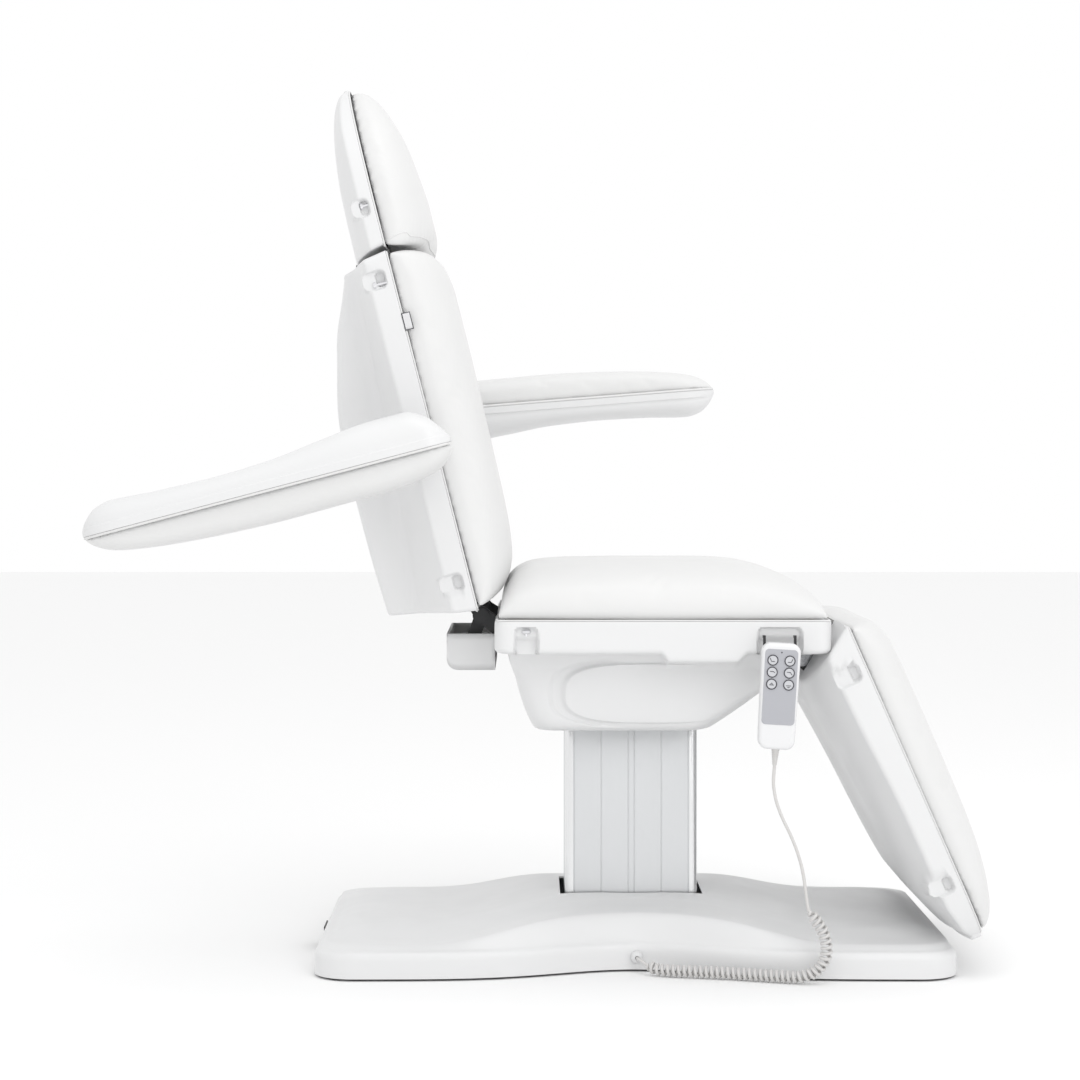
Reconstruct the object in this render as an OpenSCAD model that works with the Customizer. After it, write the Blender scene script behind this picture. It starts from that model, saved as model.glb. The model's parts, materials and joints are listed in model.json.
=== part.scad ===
// Electric facial treatment bed: base, lifting column, seat, hinged back with
// headrest, hinged leg rest, two swing-over armrests and a corded handset.
// X runs towards the feet, Y across the bed, Z up. The origin is on the floor
// under the column. The bed is drawn upright, with the leg rest hanging.

/* [Bed] */
// Width of the upholstery
bed_w = 610; // [580:10:640]
// Height of the seat seam with the column down
seat_h = 540; // [536:1:545]
// Lean of the back from vertical
back_lean = 14.3; // [10:0.1:18]
// Slope of the hanging leg rest below horizontal
leg_drop = 66.2; // [64:0.1:67]
// Length of the back section
back_l = 558; // [540:2:570]
// Length of the headrest
head_l = 272; // [250:2:290]

/* [Seat] */
// Thickness of the seat cushion
seat_cushion_t = 83; // [70:1:90]
// Half-width of the tub under the seat
tub_half_w = 222; // [215:1:230]
// Height of the underside of the tub
tub_low = 364; // [360:1:368]

/* [Base] */
// Length of the base cover
base_l = 976; // [960:2:980]
// Width of the base cover at its ends
base_w = 600; // [580:10:620]
// How far each long side is waisted beside the column
base_waist = 80; // [40:5:85]
// Height of the base cover beside the column
base_h = 100; // [98:1:104]

/* [Column] */
// Column size along the bed
column_x = 209; // [190:1:211]
// Column size across the bed
column_y = 160; // [150:1:162]
// Wall of the column profiles
column_wall = 5; // [3:0.5:6]

/* [Arms] */
// Length of an armrest
arm_l = 558; // [520:2:570]
// Width of an armrest
arm_w = 110; // [90:2:110]
// Distance from the bed's middle to the middle of an armrest
arm_y = 390; // [390:1:395]
// Rise of the left arm above horizontal
left_arm_rise = 4.5; // [0:0.5:8]
// Droop of the right arm, swung over to the rear
right_arm_droop = 14.7; // [10:0.1:18]

/* [Handset] */
// Width of the handset
handset_w = 58; // [54:1:62]
// Length of the handset
handset_l = 158; // [150:1:160]
// Diameter of the handset cord
cord_d = 5; // [4:0.5:5]
// Outer diameter of the curly part of the cord
curl_d = 19; // [17:0.5:19]

/* [Hidden] */

$fn = 48;
skin = 3;
pin_r = 8;
half_w = bed_w / 2;
plastic = [0.93, 0.93, 0.93];
vinyl = [0.95, 0.95, 0.94];
steel = [0.12, 0.12, 0.13];
bright = [0.8, 0.8, 0.82];

// A point u along a section and w out of it, from the section's own origin, for a
// section whose length rises by the angle rise from the floor
function beyond(p, rise, side = 1) =
    [p[0] * cos(rise) - side * p[1] * sin(rise), 0,
     p[0] * sin(rise) + side * p[1] * cos(rise)];

// Places of the hinges, of the sections that turn on them and of the arm pivots;
// the hubs are places in a section's own frame
head_gap = 9.5;
back_hub = [-17, 0];
leg_hub = [7.5, -16.4];
head_hub = [-5, -52];
arm_hub = [290, -25];
arm_pivot = [53.5, -36];
back_hinge_at = [-236, 0, seat_h];
leg_hinge_at = [303, 0, seat_h - 20];
back_at = back_hinge_at - beyond(back_hub, 90 + back_lean, -1);
leg_at = leg_hinge_at - beyond(leg_hub, -leg_drop);
arm_at = back_at + beyond(arm_hub, 90 + back_lean, -1);
ear_y = 110;
ear_t = 8;
bracket_y = 122;
bracket_t = 10;
back_rod_z = 487;
leg_rod_z = 471;

// ---------- Lofted solids ----------

// A closed solid through rings of equal length; its ends are zipped across
module loft(rings) {
    n = len(rings[0]);
    m = len(rings);
    points = [for (ring = rings) each ring];
    sides = [for (i = [0:m - 2]) for (j = [0:n - 1]) let (k = (j + 1) % n)
        each [[i * n + j, (i + 1) * n + k, i * n + k],
              [i * n + j, (i + 1) * n + j, (i + 1) * n + k]]];
    first = [for (j = [0:n / 2 - 2])
        each [[j, j + 1, n - 2 - j], [j, n - 2 - j, n - 1 - j]]];
    last = [for (j = [0:n / 2 - 2]) let (b = (m - 1) * n)
        each [[b + j, b + n - 2 - j, b + j + 1], [b + j, b + n - 1 - j, b + n - 2 - j]]];
    polyhedron(points, concat(sides, first, last));
}

function sgn_pow(v, p) = sign(v) * pow(abs(v), p);

// One cross-section of a cushion: flat below, crowned above
function cushion_ring(u, half, t, power = 3.4, n = 18) =
    [for (i = [0:n - 1]) let (a = 180 * i / (n - 1))
        [u, half * sgn_pow(cos(a), 2 / power), t * pow(max(sin(a), 0), 2 / power)]];

// A cushion along u from its thickness and half-width at each station
module cushion(stations) {
    loft([for (s = stations) cushion_ring(s[0], s[1], s[2])]);
}

// Half of a shell's cross-section, from its rim down to its spine
function shell_side(half, wall, crease, depth, spine) =
    [[half, 0], [half, -wall * 0.7], [half - 8, -wall],
     [spine + 12, -crease], [spine, -crease - (depth - crease) * 0.3],
     [spine - 6, -depth + 8], [spine - 16, -depth]];

// One cross-section of a shell from rim to rim, pushed along u by slant
function shell_path(u, slant, half, wall, crease, depth, spine) =
    let (side = shell_side(half, wall, crease, depth, spine))
    [for (p = side) [u - slant * p[1], p[0], p[1]],
     for (i = [len(side) - 1:-1:0]) [u - slant * side[i][1], -side[i][0], side[i][1]]];

// The same cross-section inside the skin
function inner_path(u, slant, half, wall, crease, depth, spine) =
    shell_path(u, slant, half - skin, wall - 1, crease - skin, depth - skin, spine - skin);

// An open tray of even skin: outer and inner paths in step, joined at the rim
module tray(outer, inner) {
    n = len(outer[0]);
    m = len(outer);
    b = m * n;
    points = concat([for (path = outer) each path], [for (path = inner) each path]);
    skins = [for (i = [0:m - 2]) for (j = [0:n - 2]) let (p = i * n + j, q = p + n)
        each [[p, p + 1, q + 1], [p, q + 1, q],
              [b + p, b + q + 1, b + p + 1], [b + p, b + q, b + q + 1]]];
    ends = [for (j = [0:n / 2 - 2]) let (k = n - 1 - j, e = (m - 1) * n)
        each [[j, k, j + 1], [j + 1, k, k - 1],
              [e + j, e + j + 1, e + k], [e + j + 1, e + k - 1, e + k],
              [b + j, b + j + 1, b + k], [b + j + 1, b + k - 1, b + k],
              [b + e + j, b + e + k, b + e + j + 1],
              [b + e + j + 1, b + e + k, b + e + k - 1]]];
    rims = [for (i = [0:m - 2]) let (p = i * n, q = p + n, r = p + n - 1, s = q + n - 1)
        each [[p, q, b + q], [p, b + q, b + p], [r, b + s, s], [r, b + r, b + s]]];
    e = (m - 1) * n;
    closing = [[0, b, b + n - 1], [0, b + n - 1, n - 1],
        [e, b + e + n - 1, b + e], [e, e + n - 1, b + e + n - 1]];
    polyhedron(points, concat(skins, ends, rims, closing));
}

// A plan outline with round corners, cut into parts along its long sides
function plan_ring(x0, x1, half, r, z, parts = 2) =
    let (arc = [for (i = [0:4]) 22.5 * i])
    let (side = [for (i = [1:parts - 1]) i / parts])
    let (upper = concat(
        [for (a = arc) [x1 - r + r * cos(a), half - r + r * sin(a), z]],
        [for (t = side) [x1 - r + (x0 - x1 + 2 * r) * t, half, z]],
        [for (a = arc) [x0 + r - r * sin(a), half - r + r * cos(a), z]]))
    concat(upper, [for (i = [len(upper) - 1:-1:0])
        [upper[i][0], -upper[i][1], upper[i][2]]]);

module on_back() {
    translate(back_at) rotate([0, -90 - back_lean, 0]) rotate([180, 0, 0]) children();
}

module on_head() {
    on_back() translate([back_l + head_gap, 0, 0]) children();
}

module on_leg() {
    translate(leg_at) rotate([0, leg_drop, 0]) children();
}

module on_right_arm() {
    translate(arm_at) translate([0, -arm_y, 0]) rotate([0, -180 - right_arm_droop, 0])
        translate([-arm_pivot[0], 0, -arm_pivot[1]]) children();
}

module on_left_arm() {
    translate(arm_at) translate([0, arm_y, 0]) rotate([0, -left_arm_rise, 0])
        translate([-arm_pivot[0], 0, -arm_pivot[1]]) children();
}

// A box from its lowest to its highest corner
module span(low, high) {
    translate(low) cube(high - low);
}

module both_sides() {
    children();
    mirror([0, 1, 0]) children();
}

// A plate in the XZ plane, from y to y + t
module plate(y, t) {
    translate([0, y + t, 0]) rotate([90, 0, 0]) linear_extrude(t) children();
}

// ---------- Base ----------

frame_top = 38;
frame_low = 14;

module base_frame() {
    color(steel) {
        both_sides() span([-400, 70, frame_low], [400, 110, frame_top]);
        for (x = [-410, 410]) span([x - 20, -245, frame_low], [x + 20, 245, frame_top]);
        span([-140, -70, frame_low + 6], [140, 70, frame_low + 10]);
    }
}

module levelling_feet() {
    color(steel) for (x = [-410, 410]) for (y = [-225, 225]) translate([x, y, 0]) {
        cylinder(r = 22, h = 8);
        cylinder(r = 6, h = frame_low);
    }
}

function waist(x) = exp(-pow(x / 165, 2));
function hump(x) = exp(-pow(x / 225, 4));
function crown(x) = 66 + (base_h - 66) * hump(x);

// One level of the base cover: its scale along X, its share of the plan
// half-width at the ends and beside the column, and its height
function base_ring(along, end_share, waist_share, low, drop, inset) =
    [for (p = plan_ring(-base_l / 2, base_l / 2, base_w / 2, 60, 0, 10))
        let (x = p[0], g = waist(x))
        let (half = (1 - base_waist * g / (base_w / 2)) * p[1])
        let (share = end_share + (waist_share - end_share) * g)
        [x * along * (1 - inset / base_l * 2),
         half * share * (1 - inset / base_w * 2),
         low > 0 ? low - inset * 0.9 : crown(x * along) - drop - inset]];

function base_levels(inset) = [
    base_ring(1, 1, 1, 36, 0, inset),
    base_ring(0.992, 0.985, 0.98, 42, 0, inset),
    base_ring(0.955, 0.80, 0.56, 0, 14, inset),
    base_ring(0.90, 0.66, 0.45, 0, 3, inset),
    base_ring(0.86, 0.60, 0.36, 0, 0, inset)];

module base_cover() {
    outer = concat([base_ring(1, 1, 1, 3, 0, 0)], base_levels(0));
    inner = concat([base_ring(1, 1, 1, 3 + skin * 0.9, 0, skin)], base_levels(skin));
    rings = concat([for (i = [len(inner) - 1:-1:0]) inner[i]], outer);
    color(plastic) difference() {
        loft(rings);
        span([-column_x / 2 - 8, -column_y / 2 - 8, 60],
             [column_x / 2 + 8, column_y / 2 + 8, base_h + 20]);
        span([-base_l / 2 - 5, -26, 8], [-base_l / 2 + 12, 26, 34]);
        translate([gland_x, -200, gland_z]) rotate([90, 0, 0]) cylinder(r = 7.5, h = 40);
    }
}

module control_box() {
    color([0.2, 0.2, 0.21]) difference() {
        span([170, -66, frame_low], [330, 66, 56]);
        span([173, -63, frame_low + 3], [327, 63, 53]);
    }
}

module mains_inlet() {
    color(steel) difference() {
        union() {
            span([-base_l / 2 - 2, -30, 5], [-base_l / 2, 30, 35.5]);
            span([-base_l / 2, -25, 9], [-base_l / 2 + 34, 25, 33]);
        }
        span([-base_l / 2 - 4, -14, 12], [-base_l / 2 + 16, 14, 30]);
    }
    color(bright) for (y = [-7, 0, 7])
        span([-base_l / 2, y - 1, y == 0 ? 24 : 18], [-base_l / 2 + 17, y + 1, y == 0 ? 28 : 22]);
}

gland_x = 3;
gland_z = 23;

module cord_gland() {
    color(plastic) translate([gland_x, 0, gland_z]) rotate([90, 0, 0]) difference() {
        union() {
            translate([0, 0, 206]) cylinder(r = 7, h = 20);
            translate([0, 0, 221]) cylinder(r = 9, h = 8);
            translate([0, 0, 229]) cylinder(r1 = 8, r2 = 5, h = 6);
        }
        translate([0, 0, 200]) cylinder(r = 3, h = 34.9);
    }
}

// ---------- Lifting column ----------

foot_t = 10;
outer_low = frame_top + foot_t;
outer_high = 480;
inner_gap = 2;
inner_x = column_x - 2 * column_wall - 2 * inner_gap;
inner_y = column_y - 2 * column_wall - 2 * inner_gap;
inner_low = 75;
top_plate_low = 500;
top_plate_t = 8;

module round_rect(x, y, r) {
    square([x - 2 * r, y], center = true);
    square([x, y - 2 * r], center = true);
    for (i = [-1, 1]) for (j = [-1, 1])
        translate([i * (x / 2 - r), j * (y / 2 - r)]) circle(r = r);
}

module column_foot() {
    color(steel) difference() {
        span([-140, -112, frame_top], [140, 112, frame_top + foot_t]);
        for (x = [-125, 125]) for (y = [-92, 92])
            translate([x, y, frame_top - 1]) cylinder(r = 5.5, h = foot_t + 2);
    }
}

module column_bolts() {
    color(bright) for (x = [-125, 125]) for (y = [-92, 92]) translate([x, y, 0]) {
        translate([0, 0, frame_top]) cylinder(r = 5, h = foot_t);
        translate([0, 0, frame_top + foot_t]) cylinder(r = 9, h = 7, $fn = 6);
    }
}

groove_w = 3;
groove_d = 2;

module column_outer() {
    color([0.77, 0.78, 0.79]) translate([0, 0, outer_low])
        linear_extrude(outer_high - outer_low) difference() {
            round_rect(column_x, column_y, 10);
            round_rect(column_x - 2 * column_wall, column_y - 2 * column_wall, 6);
            for (x = [-47.5, -4.7, 4.7, 47.5]) for (s = [-1, 1])
                translate([x, s * column_y / 2]) square([groove_w, 2 * groove_d], center = true);
            for (y = [-40, 40]) for (s = [-1, 1])
                translate([s * column_x / 2, y]) square([2 * groove_d, groove_w], center = true);
        }
}

module column_glides() {
    pad_t = inner_gap - 0.3;
    wall_x = column_x / 2 - column_wall;
    wall_y = column_y / 2 - column_wall;
    color(steel) for (z = [outer_high - 60]) for (s = [-1, 1]) {
        for (x = [-60, 60]) {
            low = s > 0 ? wall_y - pad_t : -wall_y;
            span([x - 15, low, z], [x + 15, low + pad_t, z + 50]);
        }
        for (y = [-40, 40]) {
            low = s > 0 ? wall_x - pad_t : -wall_x;
            span([low, y - 15, z], [low + pad_t, y + 15, z + 50]);
        }
    }
}

module column_inner() {
    color([0.72, 0.73, 0.74]) translate([0, 0, inner_low])
        linear_extrude(top_plate_low - inner_low) difference() {
            round_rect(inner_x, inner_y, 8);
            round_rect(inner_x - 2 * column_wall, inner_y - 2 * column_wall, 5);
        }
    color(steel) span([-125, -88, top_plate_low], [125, 88, top_plate_low + top_plate_t]);
}

lift_rod_r = 14;
lift_tube_low = 110;
lift_tube_high = 470;

module lift_actuator() {
    color(steel) {
        span([-45, -45, outer_low], [45, 45, lift_tube_low]);
        translate([0, 0, lift_tube_low]) difference() {
            cylinder(r = 22, h = lift_tube_high - lift_tube_low);
            translate([0, 0, 4]) cylinder(r = lift_rod_r + 0.5, h = 400);
        }
    }
}

module lift_rod() {
    color(bright) translate([0, 0, lift_tube_low + 8])
        cylinder(r = lift_rod_r, h = top_plate_low - lift_tube_low - 8);
}

// ---------- Seat ----------

rail_low = top_plate_low + top_plate_t;
rail_high = rail_low + 24;

module seat_frame() {
    color(steel) {
        both_sides() span([-185, 132, rail_low], [255, 172, rail_high]);
        for (x = [-90, 90]) span([x - 20, -132, rail_low], [x + 20, 132, rail_high]);
        both_sides() difference() {
            union() {
                plate(bracket_y, bracket_t) {
                    polygon([[-150, rail_low], [-150, rail_high], [-200, rail_high],
                             [back_hinge_at[0] + 8, seat_h + 10], [back_hinge_at[0], seat_h - 14],
                             [-215, rail_low]]);
                    translate([back_hinge_at[0], back_hinge_at[2]]) circle(r = 14);
                }
                plate(bracket_y, bracket_t) {
                    polygon([[200, rail_low], [200, rail_high], [295, rail_high],
                             [leg_hinge_at[0], leg_hinge_at[2] + 13],
                             [leg_hinge_at[0], leg_hinge_at[2] - 13], [260, rail_low]]);
                    translate([leg_hinge_at[0], leg_hinge_at[2]]) circle(r = 13);
                }
            }
            for (at = [back_hinge_at, leg_hinge_at])
                translate([at[0], bracket_y - 1, at[2]]) rotate([-90, 0, 0])
                    cylinder(r = pin_r, h = bracket_t + 2);
        }
    }
}

module seat_board() {
    color([0.75, 0.6, 0.42]) span([-192, -280, rail_high], [270, 280, seat_h]);
}

// The seat cover's outline at each height: left end, right end, half-width,
// corner radius and height
seat_levels = [[-212, 293, 304, 22, seat_h], [-213, 293, 305, 22, 505],
    [-209, 289, 301, 24, 495], [-198, 276, 286, 24, 489],
    [-193, 258, tub_half_w + 12, 30, 482], [-188, 244, tub_half_w + 2, 34, 464],
    [-182, 222, tub_half_w, 36, 446], [-174, 186, tub_half_w - 2, 38, 416],
    [-164, 142, tub_half_w - 5, 38, 386], [-155, 120, tub_half_w - 12, 36, 371],
    [-138, 96, tub_half_w - 28, 30, tub_low]];

function seat_ring(level, inset) =
    plan_ring(level[0] + inset, level[1] - inset, level[2] - inset, level[3] - inset / 2,
              level[4] == seat_h ? seat_h : level[4] + inset * 0.8);

window_y = 141;

module seat_cover() {
    outer = [for (level = seat_levels) seat_ring(level, 0)];
    inner = [for (level = seat_levels) seat_ring(level, skin)];
    last = len(inner) - 1;
    rings = concat([for (i = [last:-1:0]) inner[i]], outer);
    color(plastic) difference() {
        loft(rings);
        span([-column_x / 2 - 4, -column_y / 2 - 4, tub_low - 5],
             [column_x / 2 + 4, column_y / 2 + 4, tub_low + 12]);
        span([-240, -window_y + 4, 460], [-170, window_y - 4, seat_h + 5]);
        span([225, -window_y + 4, 458], [320, window_y - 4, seat_h + 5]);
        both_sides() {
            span([-182, 290, 496], [-160, 320, 524]);
            span([185, 290, 488], [245, 320, 534]);
        }
    }
}

module seat_cushion() {
    t = seat_cushion_t;
    profile = [[-207, 0.10], [-203, 0.34], [-194, 0.60], [-178, 0.82], [-150, 0.93],
        [-90, 0.98], [0, 1], [110, 1], [165, 0.96], [205, 0.87], [242, 0.70],
        [268, 0.50], [283, 0.32], [290, 0.10]];
    color(vinyl) translate([0, 0, seat_h])
        cushion([for (p = profile) [p[0], half_w - 3, t * p[1]]]);
}

box_left = -290;
box_low = 455.5;
box_high = 512;

module rear_hinge_box() {
    color(plastic) difference() {
        union() {
            span([box_left + 16, -145, box_low], [-214, 145, box_high]);
            span([box_left, -145, box_low + 16], [-214, 145, box_high]);
            translate([box_left + 16, 145, box_low + 16]) rotate([90, 0, 0])
                cylinder(r = 16, h = 290);
        }
        span([box_left + skin, -window_y, box_low + 14], [-200, window_y, box_high + 5]);
        span([box_left + 14, -window_y, box_low + skin], [-200, window_y, box_high + 5]);
    }
}

module seat_screws() {
    color(bright) both_sides() translate([-171, 292, 504]) {
        cylinder(r = 6, h = 5);
        cylinder(r = 2.5, h = 27);
    }
}

module hinge_pins(at) {
    color(bright) both_sides() translate([at[0], 0, at[2]]) rotate([-90, 0, 0]) {
        translate([0, 0, ear_y - 3]) cylinder(r = pin_r - 0.05, h = 28);
        translate([0, 0, bracket_y + bracket_t]) cylinder(r = 11, h = 4);
    }
}

module back_hinge_pins() {
    hinge_pins(back_hinge_at);
}

module leg_hinge_pins() {
    hinge_pins(leg_hinge_at);
}

rod_y = ear_y + ear_t / 2;
rod_r = 8;
fork_l = 30;

// A drive that lies along X beside the column: gearbox, motor and tube
module drive(x_gear, x_motor, x_mouth, z) {
    tube_l = abs(x_mouth - x_gear);
    color(steel) translate([x_gear, 0, z]) mirror([x_mouth < x_gear ? 1 : 0, 0, 0]) {
        span([-36, 98, -16], [0, 192, 14]);
        translate([0, 165, -2]) rotate([0, 90, 0]) cylinder(r = 15, h = abs(x_motor - x_gear));
        translate([0, rod_y, 0]) rotate([0, 90, 0]) difference() {
            cylinder(r = 14, h = tube_l);
            translate([0, 0, 4]) cylinder(r = rod_r + 1, h = tube_l);
        }
    }
}

module back_actuator() {
    drive(100, 10, -146, back_rod_z);
}

module leg_actuator() {
    mirror([0, 1, 0]) drive(-90, 0, 205, leg_rod_z);
}

// A rod along X whose fork straddles a lever, from the fork to its far end
module drive_rod(x_tip, x_end, z) {
    way = sign(x_end - x_tip);
    color(bright) translate([x_tip, rod_y, z]) mirror([way < 0 ? 1 : 0, 0, 0]) {
        for (y = [-14.5, 7.5]) span([-13, y, -11], [fork_l, y + 7, 11]);
        span([fork_l - 8, -14.5, -11], [fork_l, 14.5, 11]);
        translate([fork_l, 0, 0]) rotate([0, 90, 0])
            cylinder(r = rod_r, h = abs(x_end - x_tip) - fork_l);
    }
}

module back_rod() {
    drive_rod(-260, 0, back_rod_z);
}

module leg_rod() {
    mirror([0, 1, 0]) drive_rod(273, 0, leg_rod_z);
}

// ---------- Handset ----------

handset_tilt = 3.3;
handset_at = [209.5, -330, 431.3];
handset_t = 26;
key_r = 8;
key_gap = 0.3;
key_x = 12.7;
key_rows = [53.5, 35.7, 17.9];

// The handset's frame: x to the right of its face, y up, z out of its face
module on_handset() {
    translate(handset_at) rotate([0, handset_tilt, 0]) rotate([90, 0, 0]) children();
}

module handset_outline(grow) {
    r = 24;
    y = handset_l / 2;
    x = handset_w / 2;
    polygon([for (p = [[x - r, y - r, 0], [r - x, y - r, 90], [r - x - 3, r - y, 180],
        [x - r - 3, r - y, 270]]) for (a = [0:15:90])
        [(p[0] + (r + grow) * cos(p[2] + a)) * (p[1] < 0 ? 0.92 : 1),
         p[1] + (r + grow) * sin(p[2] + a)]]);
}

module handset_front() {
    color(plastic) on_handset() difference() {
        linear_extrude(handset_t / 2) handset_outline(0);
        translate([0, 0, -1]) linear_extrude(handset_t / 2 - 2) handset_outline(-2.5);
        for (x = [-key_x, key_x]) for (y = key_rows)
            translate([x, y, 0]) cylinder(r = key_r + key_gap, h = handset_t);
        linear_extrude(4) translate([-4.2, -handset_l / 2 - 2]) square([8.4, 10]);
    }
}

module handset_back() {
    color(plastic) on_handset() difference() {
        translate([0, 0, -handset_t / 2]) linear_extrude(handset_t / 2) handset_outline(0);
        translate([0, 0, 2.5 - handset_t / 2]) linear_extrude(handset_t) handset_outline(-2.5);
        translate([0, 0, -4]) linear_extrude(5) translate([-4.2, -handset_l / 2 - 2])
            square([8.4, 10]);
    }
}

module handset_label() {
    color([0.72, 0.72, 0.75]) on_handset() translate([0, 0, handset_t / 2])
        linear_extrude(0.5) difference() {
            translate([-25, -42]) square([50, 112]);
            for (x = [-key_x, key_x]) for (y = key_rows)
                translate([x, y]) circle(r = key_r + key_gap);
        }
}

// The keys in rows from the top: left and right
module key(index) {
    row = floor((index - 1) / 2);
    side = (index - 1) % 2 == 0 ? -1 : 1;
    color(plastic) on_handset() translate([side * key_x, key_rows[row], 0]) {
        translate([0, 0, handset_t / 2 - 1.9]) cylinder(r = key_r, h = 3.4);
    }
}

module button_1() { key(1); }
module button_2() { key(2); }
module button_3() { key(3); }
module button_4() { key(4); }
module button_5() { key(5); }
module button_6() { key(6); }

module handset_hook() {
    color(bright) {
        for (x = [190, 236]) {
            span([x - 2, -316, 516], [x + 2, -304, 520]);
            span([x - 2, -316, 470], [x + 2, -312, 520]);
        }
        span([188, -316, 466], [238, -312, 470]);
    }
}

module cord_strain_relief() {
    color(plastic) on_handset() rotate([90, 0, 0]) {
        translate([0, 0, handset_l / 2 - 6]) cylinder(r = 4, h = 6);
        translate([0, 0, handset_l / 2]) cylinder(r1 = 6, r2 = cord_d / 2, h = 28);
    }
}

// ---------- Handset cord ----------

// A tube of round section along points, with flat ends
function unit(v) = v / norm(v);
function way_at(path, i) =
    let (a = path[max(i - 1, 0)], b = path[min(i + 1, len(path) - 1)]) unit(b - a);

module tube(path, r, sides) {
    loft([for (i = [0:len(path) - 1])
        let (t = way_at(path, i))
        let (side = unit(cross(t, abs(t[2]) > 0.9 ? [0, 1, 0] : [0, 0, 1])))
        let (up = cross(side, t))
        [for (j = [0:sides - 1]) let (a = 360 * (j + 0.5) / sides)
            path[i] + r * (cos(a) * side + sin(a) * up)]]);
}

// Points between the route's own points, on a smooth curve through them
function smooth_at(p, i, t) =
    let (n = len(p) - 1)
    let (a = p[max(i - 1, 0)], b = p[i], c = p[i + 1], d = p[min(i + 2, n)])
    0.5 * (2 * b + (c - a) * t + (2 * a - 5 * b + 4 * c - d) * t * t
        + (3 * b - a - 3 * c + d) * t * t * t);

function smooth_path(p, steps) =
    concat([for (i = [0:len(p) - 2]) for (k = [0:steps - 1]) smooth_at(p, i, k / steps)],
           [p[len(p) - 1]]);

cord_route = [[203.3, -330, 324.2], [202, -330, 300], [206, -330, 275], [215, -330, 250],
    [227, -330, 225], [237, -330, 200], [245, -330, 172], [250, -330, 140],
    [254, -330, 112]];
curl_route = [[254, -330, 112], [263, -330, 100], [275, -329, 82], [281, -328, 60],
    [279, -326, 38], [266, -324, 20], [244, -320, 11], [215, -311, 10], [180, -299, 10],
    [140, -286, 10], [100, -276, 10], [60, -267, 10], [32, -259, 11], [16, -250, 16]];
gland_route = [[gland_x, -235, gland_z], [5, -240, 22.5], [10, -245, 20], [16, -250, 16]];

module handset_cord() {
    color(plastic) {
        tube(smooth_path(cord_route, 2), cord_d / 2, 8);
        tube(gland_route, cord_d / 2, 8);
    }
}

module handset_cord_curl() {
    color(plastic) tube(smooth_path(curl_route, 2), curl_d / 2, 10);
}

// ---------- Back ----------

module ear(hub, plate_points, tip) {
    along = (tip - hub) / norm(tip - hub);
    across = [along[1], -along[0]] * 10;
    plate(ear_y, ear_t) difference() {
        union() {
            translate(hub) circle(r = 12);
            polygon(plate_points);
            polygon([hub + across, hub - across, tip - across, tip + across]);
            translate(tip) circle(r = 10);
        }
        translate(hub) circle(r = pin_r + 0.05);
        translate(tip) circle(r = 4);
    }
}

back_tip = [-74, -39];

lug_t = 6;
lug_pin_r = 4;

// A headrest hinge plate: a round eye and the web that joins it to its frame
module lug(y, hub, web) {
    plate(y, lug_t) difference() {
        union() {
            translate(hub) circle(r = 7);
            polygon(concat([hub + [0, 5], hub + [0, -5]], web));
        }
        translate(hub) circle(r = lug_pin_r + 0.05);
    }
}

module back_frame() {
    color(steel) on_back() {
        both_sides() difference() {
            span([70, 258, -36], [530, 282, -8]);
            translate([arm_hub[0], 250, arm_hub[1]]) rotate([-90, 0, 0])
                cylinder(r = pin_r + 0.02, h = 40);
        }
        for (u = [92, 300, 500]) span([u, -258, -34], [u + 26, 258, -10]);
        both_sides() ear(back_hub, [[-22, -11], [60, -34], [110, -34], [110, -10], [0, -6],
            [-17, 2]], back_tip);
        both_sides() lug(60, [back_l + head_gap + head_hub[0], head_hub[1]],
            [[550, -57], [534, -57], [504, -33], [504, -14], [522, -14], [550, -47]]);
    }
}

// Depth of the back shell's spine and of the crease beside it
back_depth = [[0, 139], [110, 143], [200, 144], [310, 141], [430, 116], [470, 105],
    [520, 87], [558, 73]];
back_crease = [[0, 96], [280, 72], [558, 58]];
back_spine = [[0, 178], [280, 176], [558, 206]];

function back_section(u) = [half_w, 37, lookup(u, back_crease), lookup(u, back_depth),
    lookup(u, back_spine)];

// A shell along stations of [u, slant, section...], closed by a skin at each end
module shell_run(stations) {
    last = len(stations) - 1;
    tray([for (s = stations) shell_path(s[0], s[1], s[2], s[3], s[4], s[5], s[6])],
         [for (i = [0:last]) let (s = stations[i])
             inner_path(s[0] + (i == 0 ? skin : i == last ? -skin : 0),
                        s[1], s[2], s[3], s[4], s[5], s[6])]);
}

module screw_window(u, length) {
    both_sides() span([u, half_w - 14, -40], [u + length, half_w + 5, -22]);
}

module lug_notch(hub) {
    both_sides() plate(48, 22) translate(hub) circle(r = 9.5);
}

module back_shell() {
    us = [0, 60, 110, 200, 310, 370, 430, 470, 520, back_l];
    slant = function(u) 0.15 * max(0, 1 - u / 110);
    color(plastic) on_back() difference() {
        shell_run([for (u = us) concat([u, slant(u)], back_section(u))]);
        span([-30, -150, -132], [40, 150, 5]);
        lug_notch([back_l + head_gap + head_hub[0], head_hub[1]]);
        screw_window(62, 26);
        screw_window(498, 26);
        both_sides() translate([arm_hub[0], half_w - 20, arm_hub[1]]) rotate([-90, 0, 0])
            cylinder(r = 12, h = 40);
    }
}

module back_cushion() {
    profile = [[0, 16], [6, 28], [18, 42], [38, 56], [66, 66], [130, 73], [280, 75],
        [430, 73], [505, 67], [538, 58], [552, 44], [557, 22]];
    color(vinyl) on_back() cushion([for (p = profile) [p[0], half_w - 1, p[1]]]);
}

module back_tag() {
    color([0.8, 0.8, 0.8]) on_back() translate([434.5, 0, 0])
        span([0, half_w - 0.8, 2], [24, half_w + 0.4, 12]);
}

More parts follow.
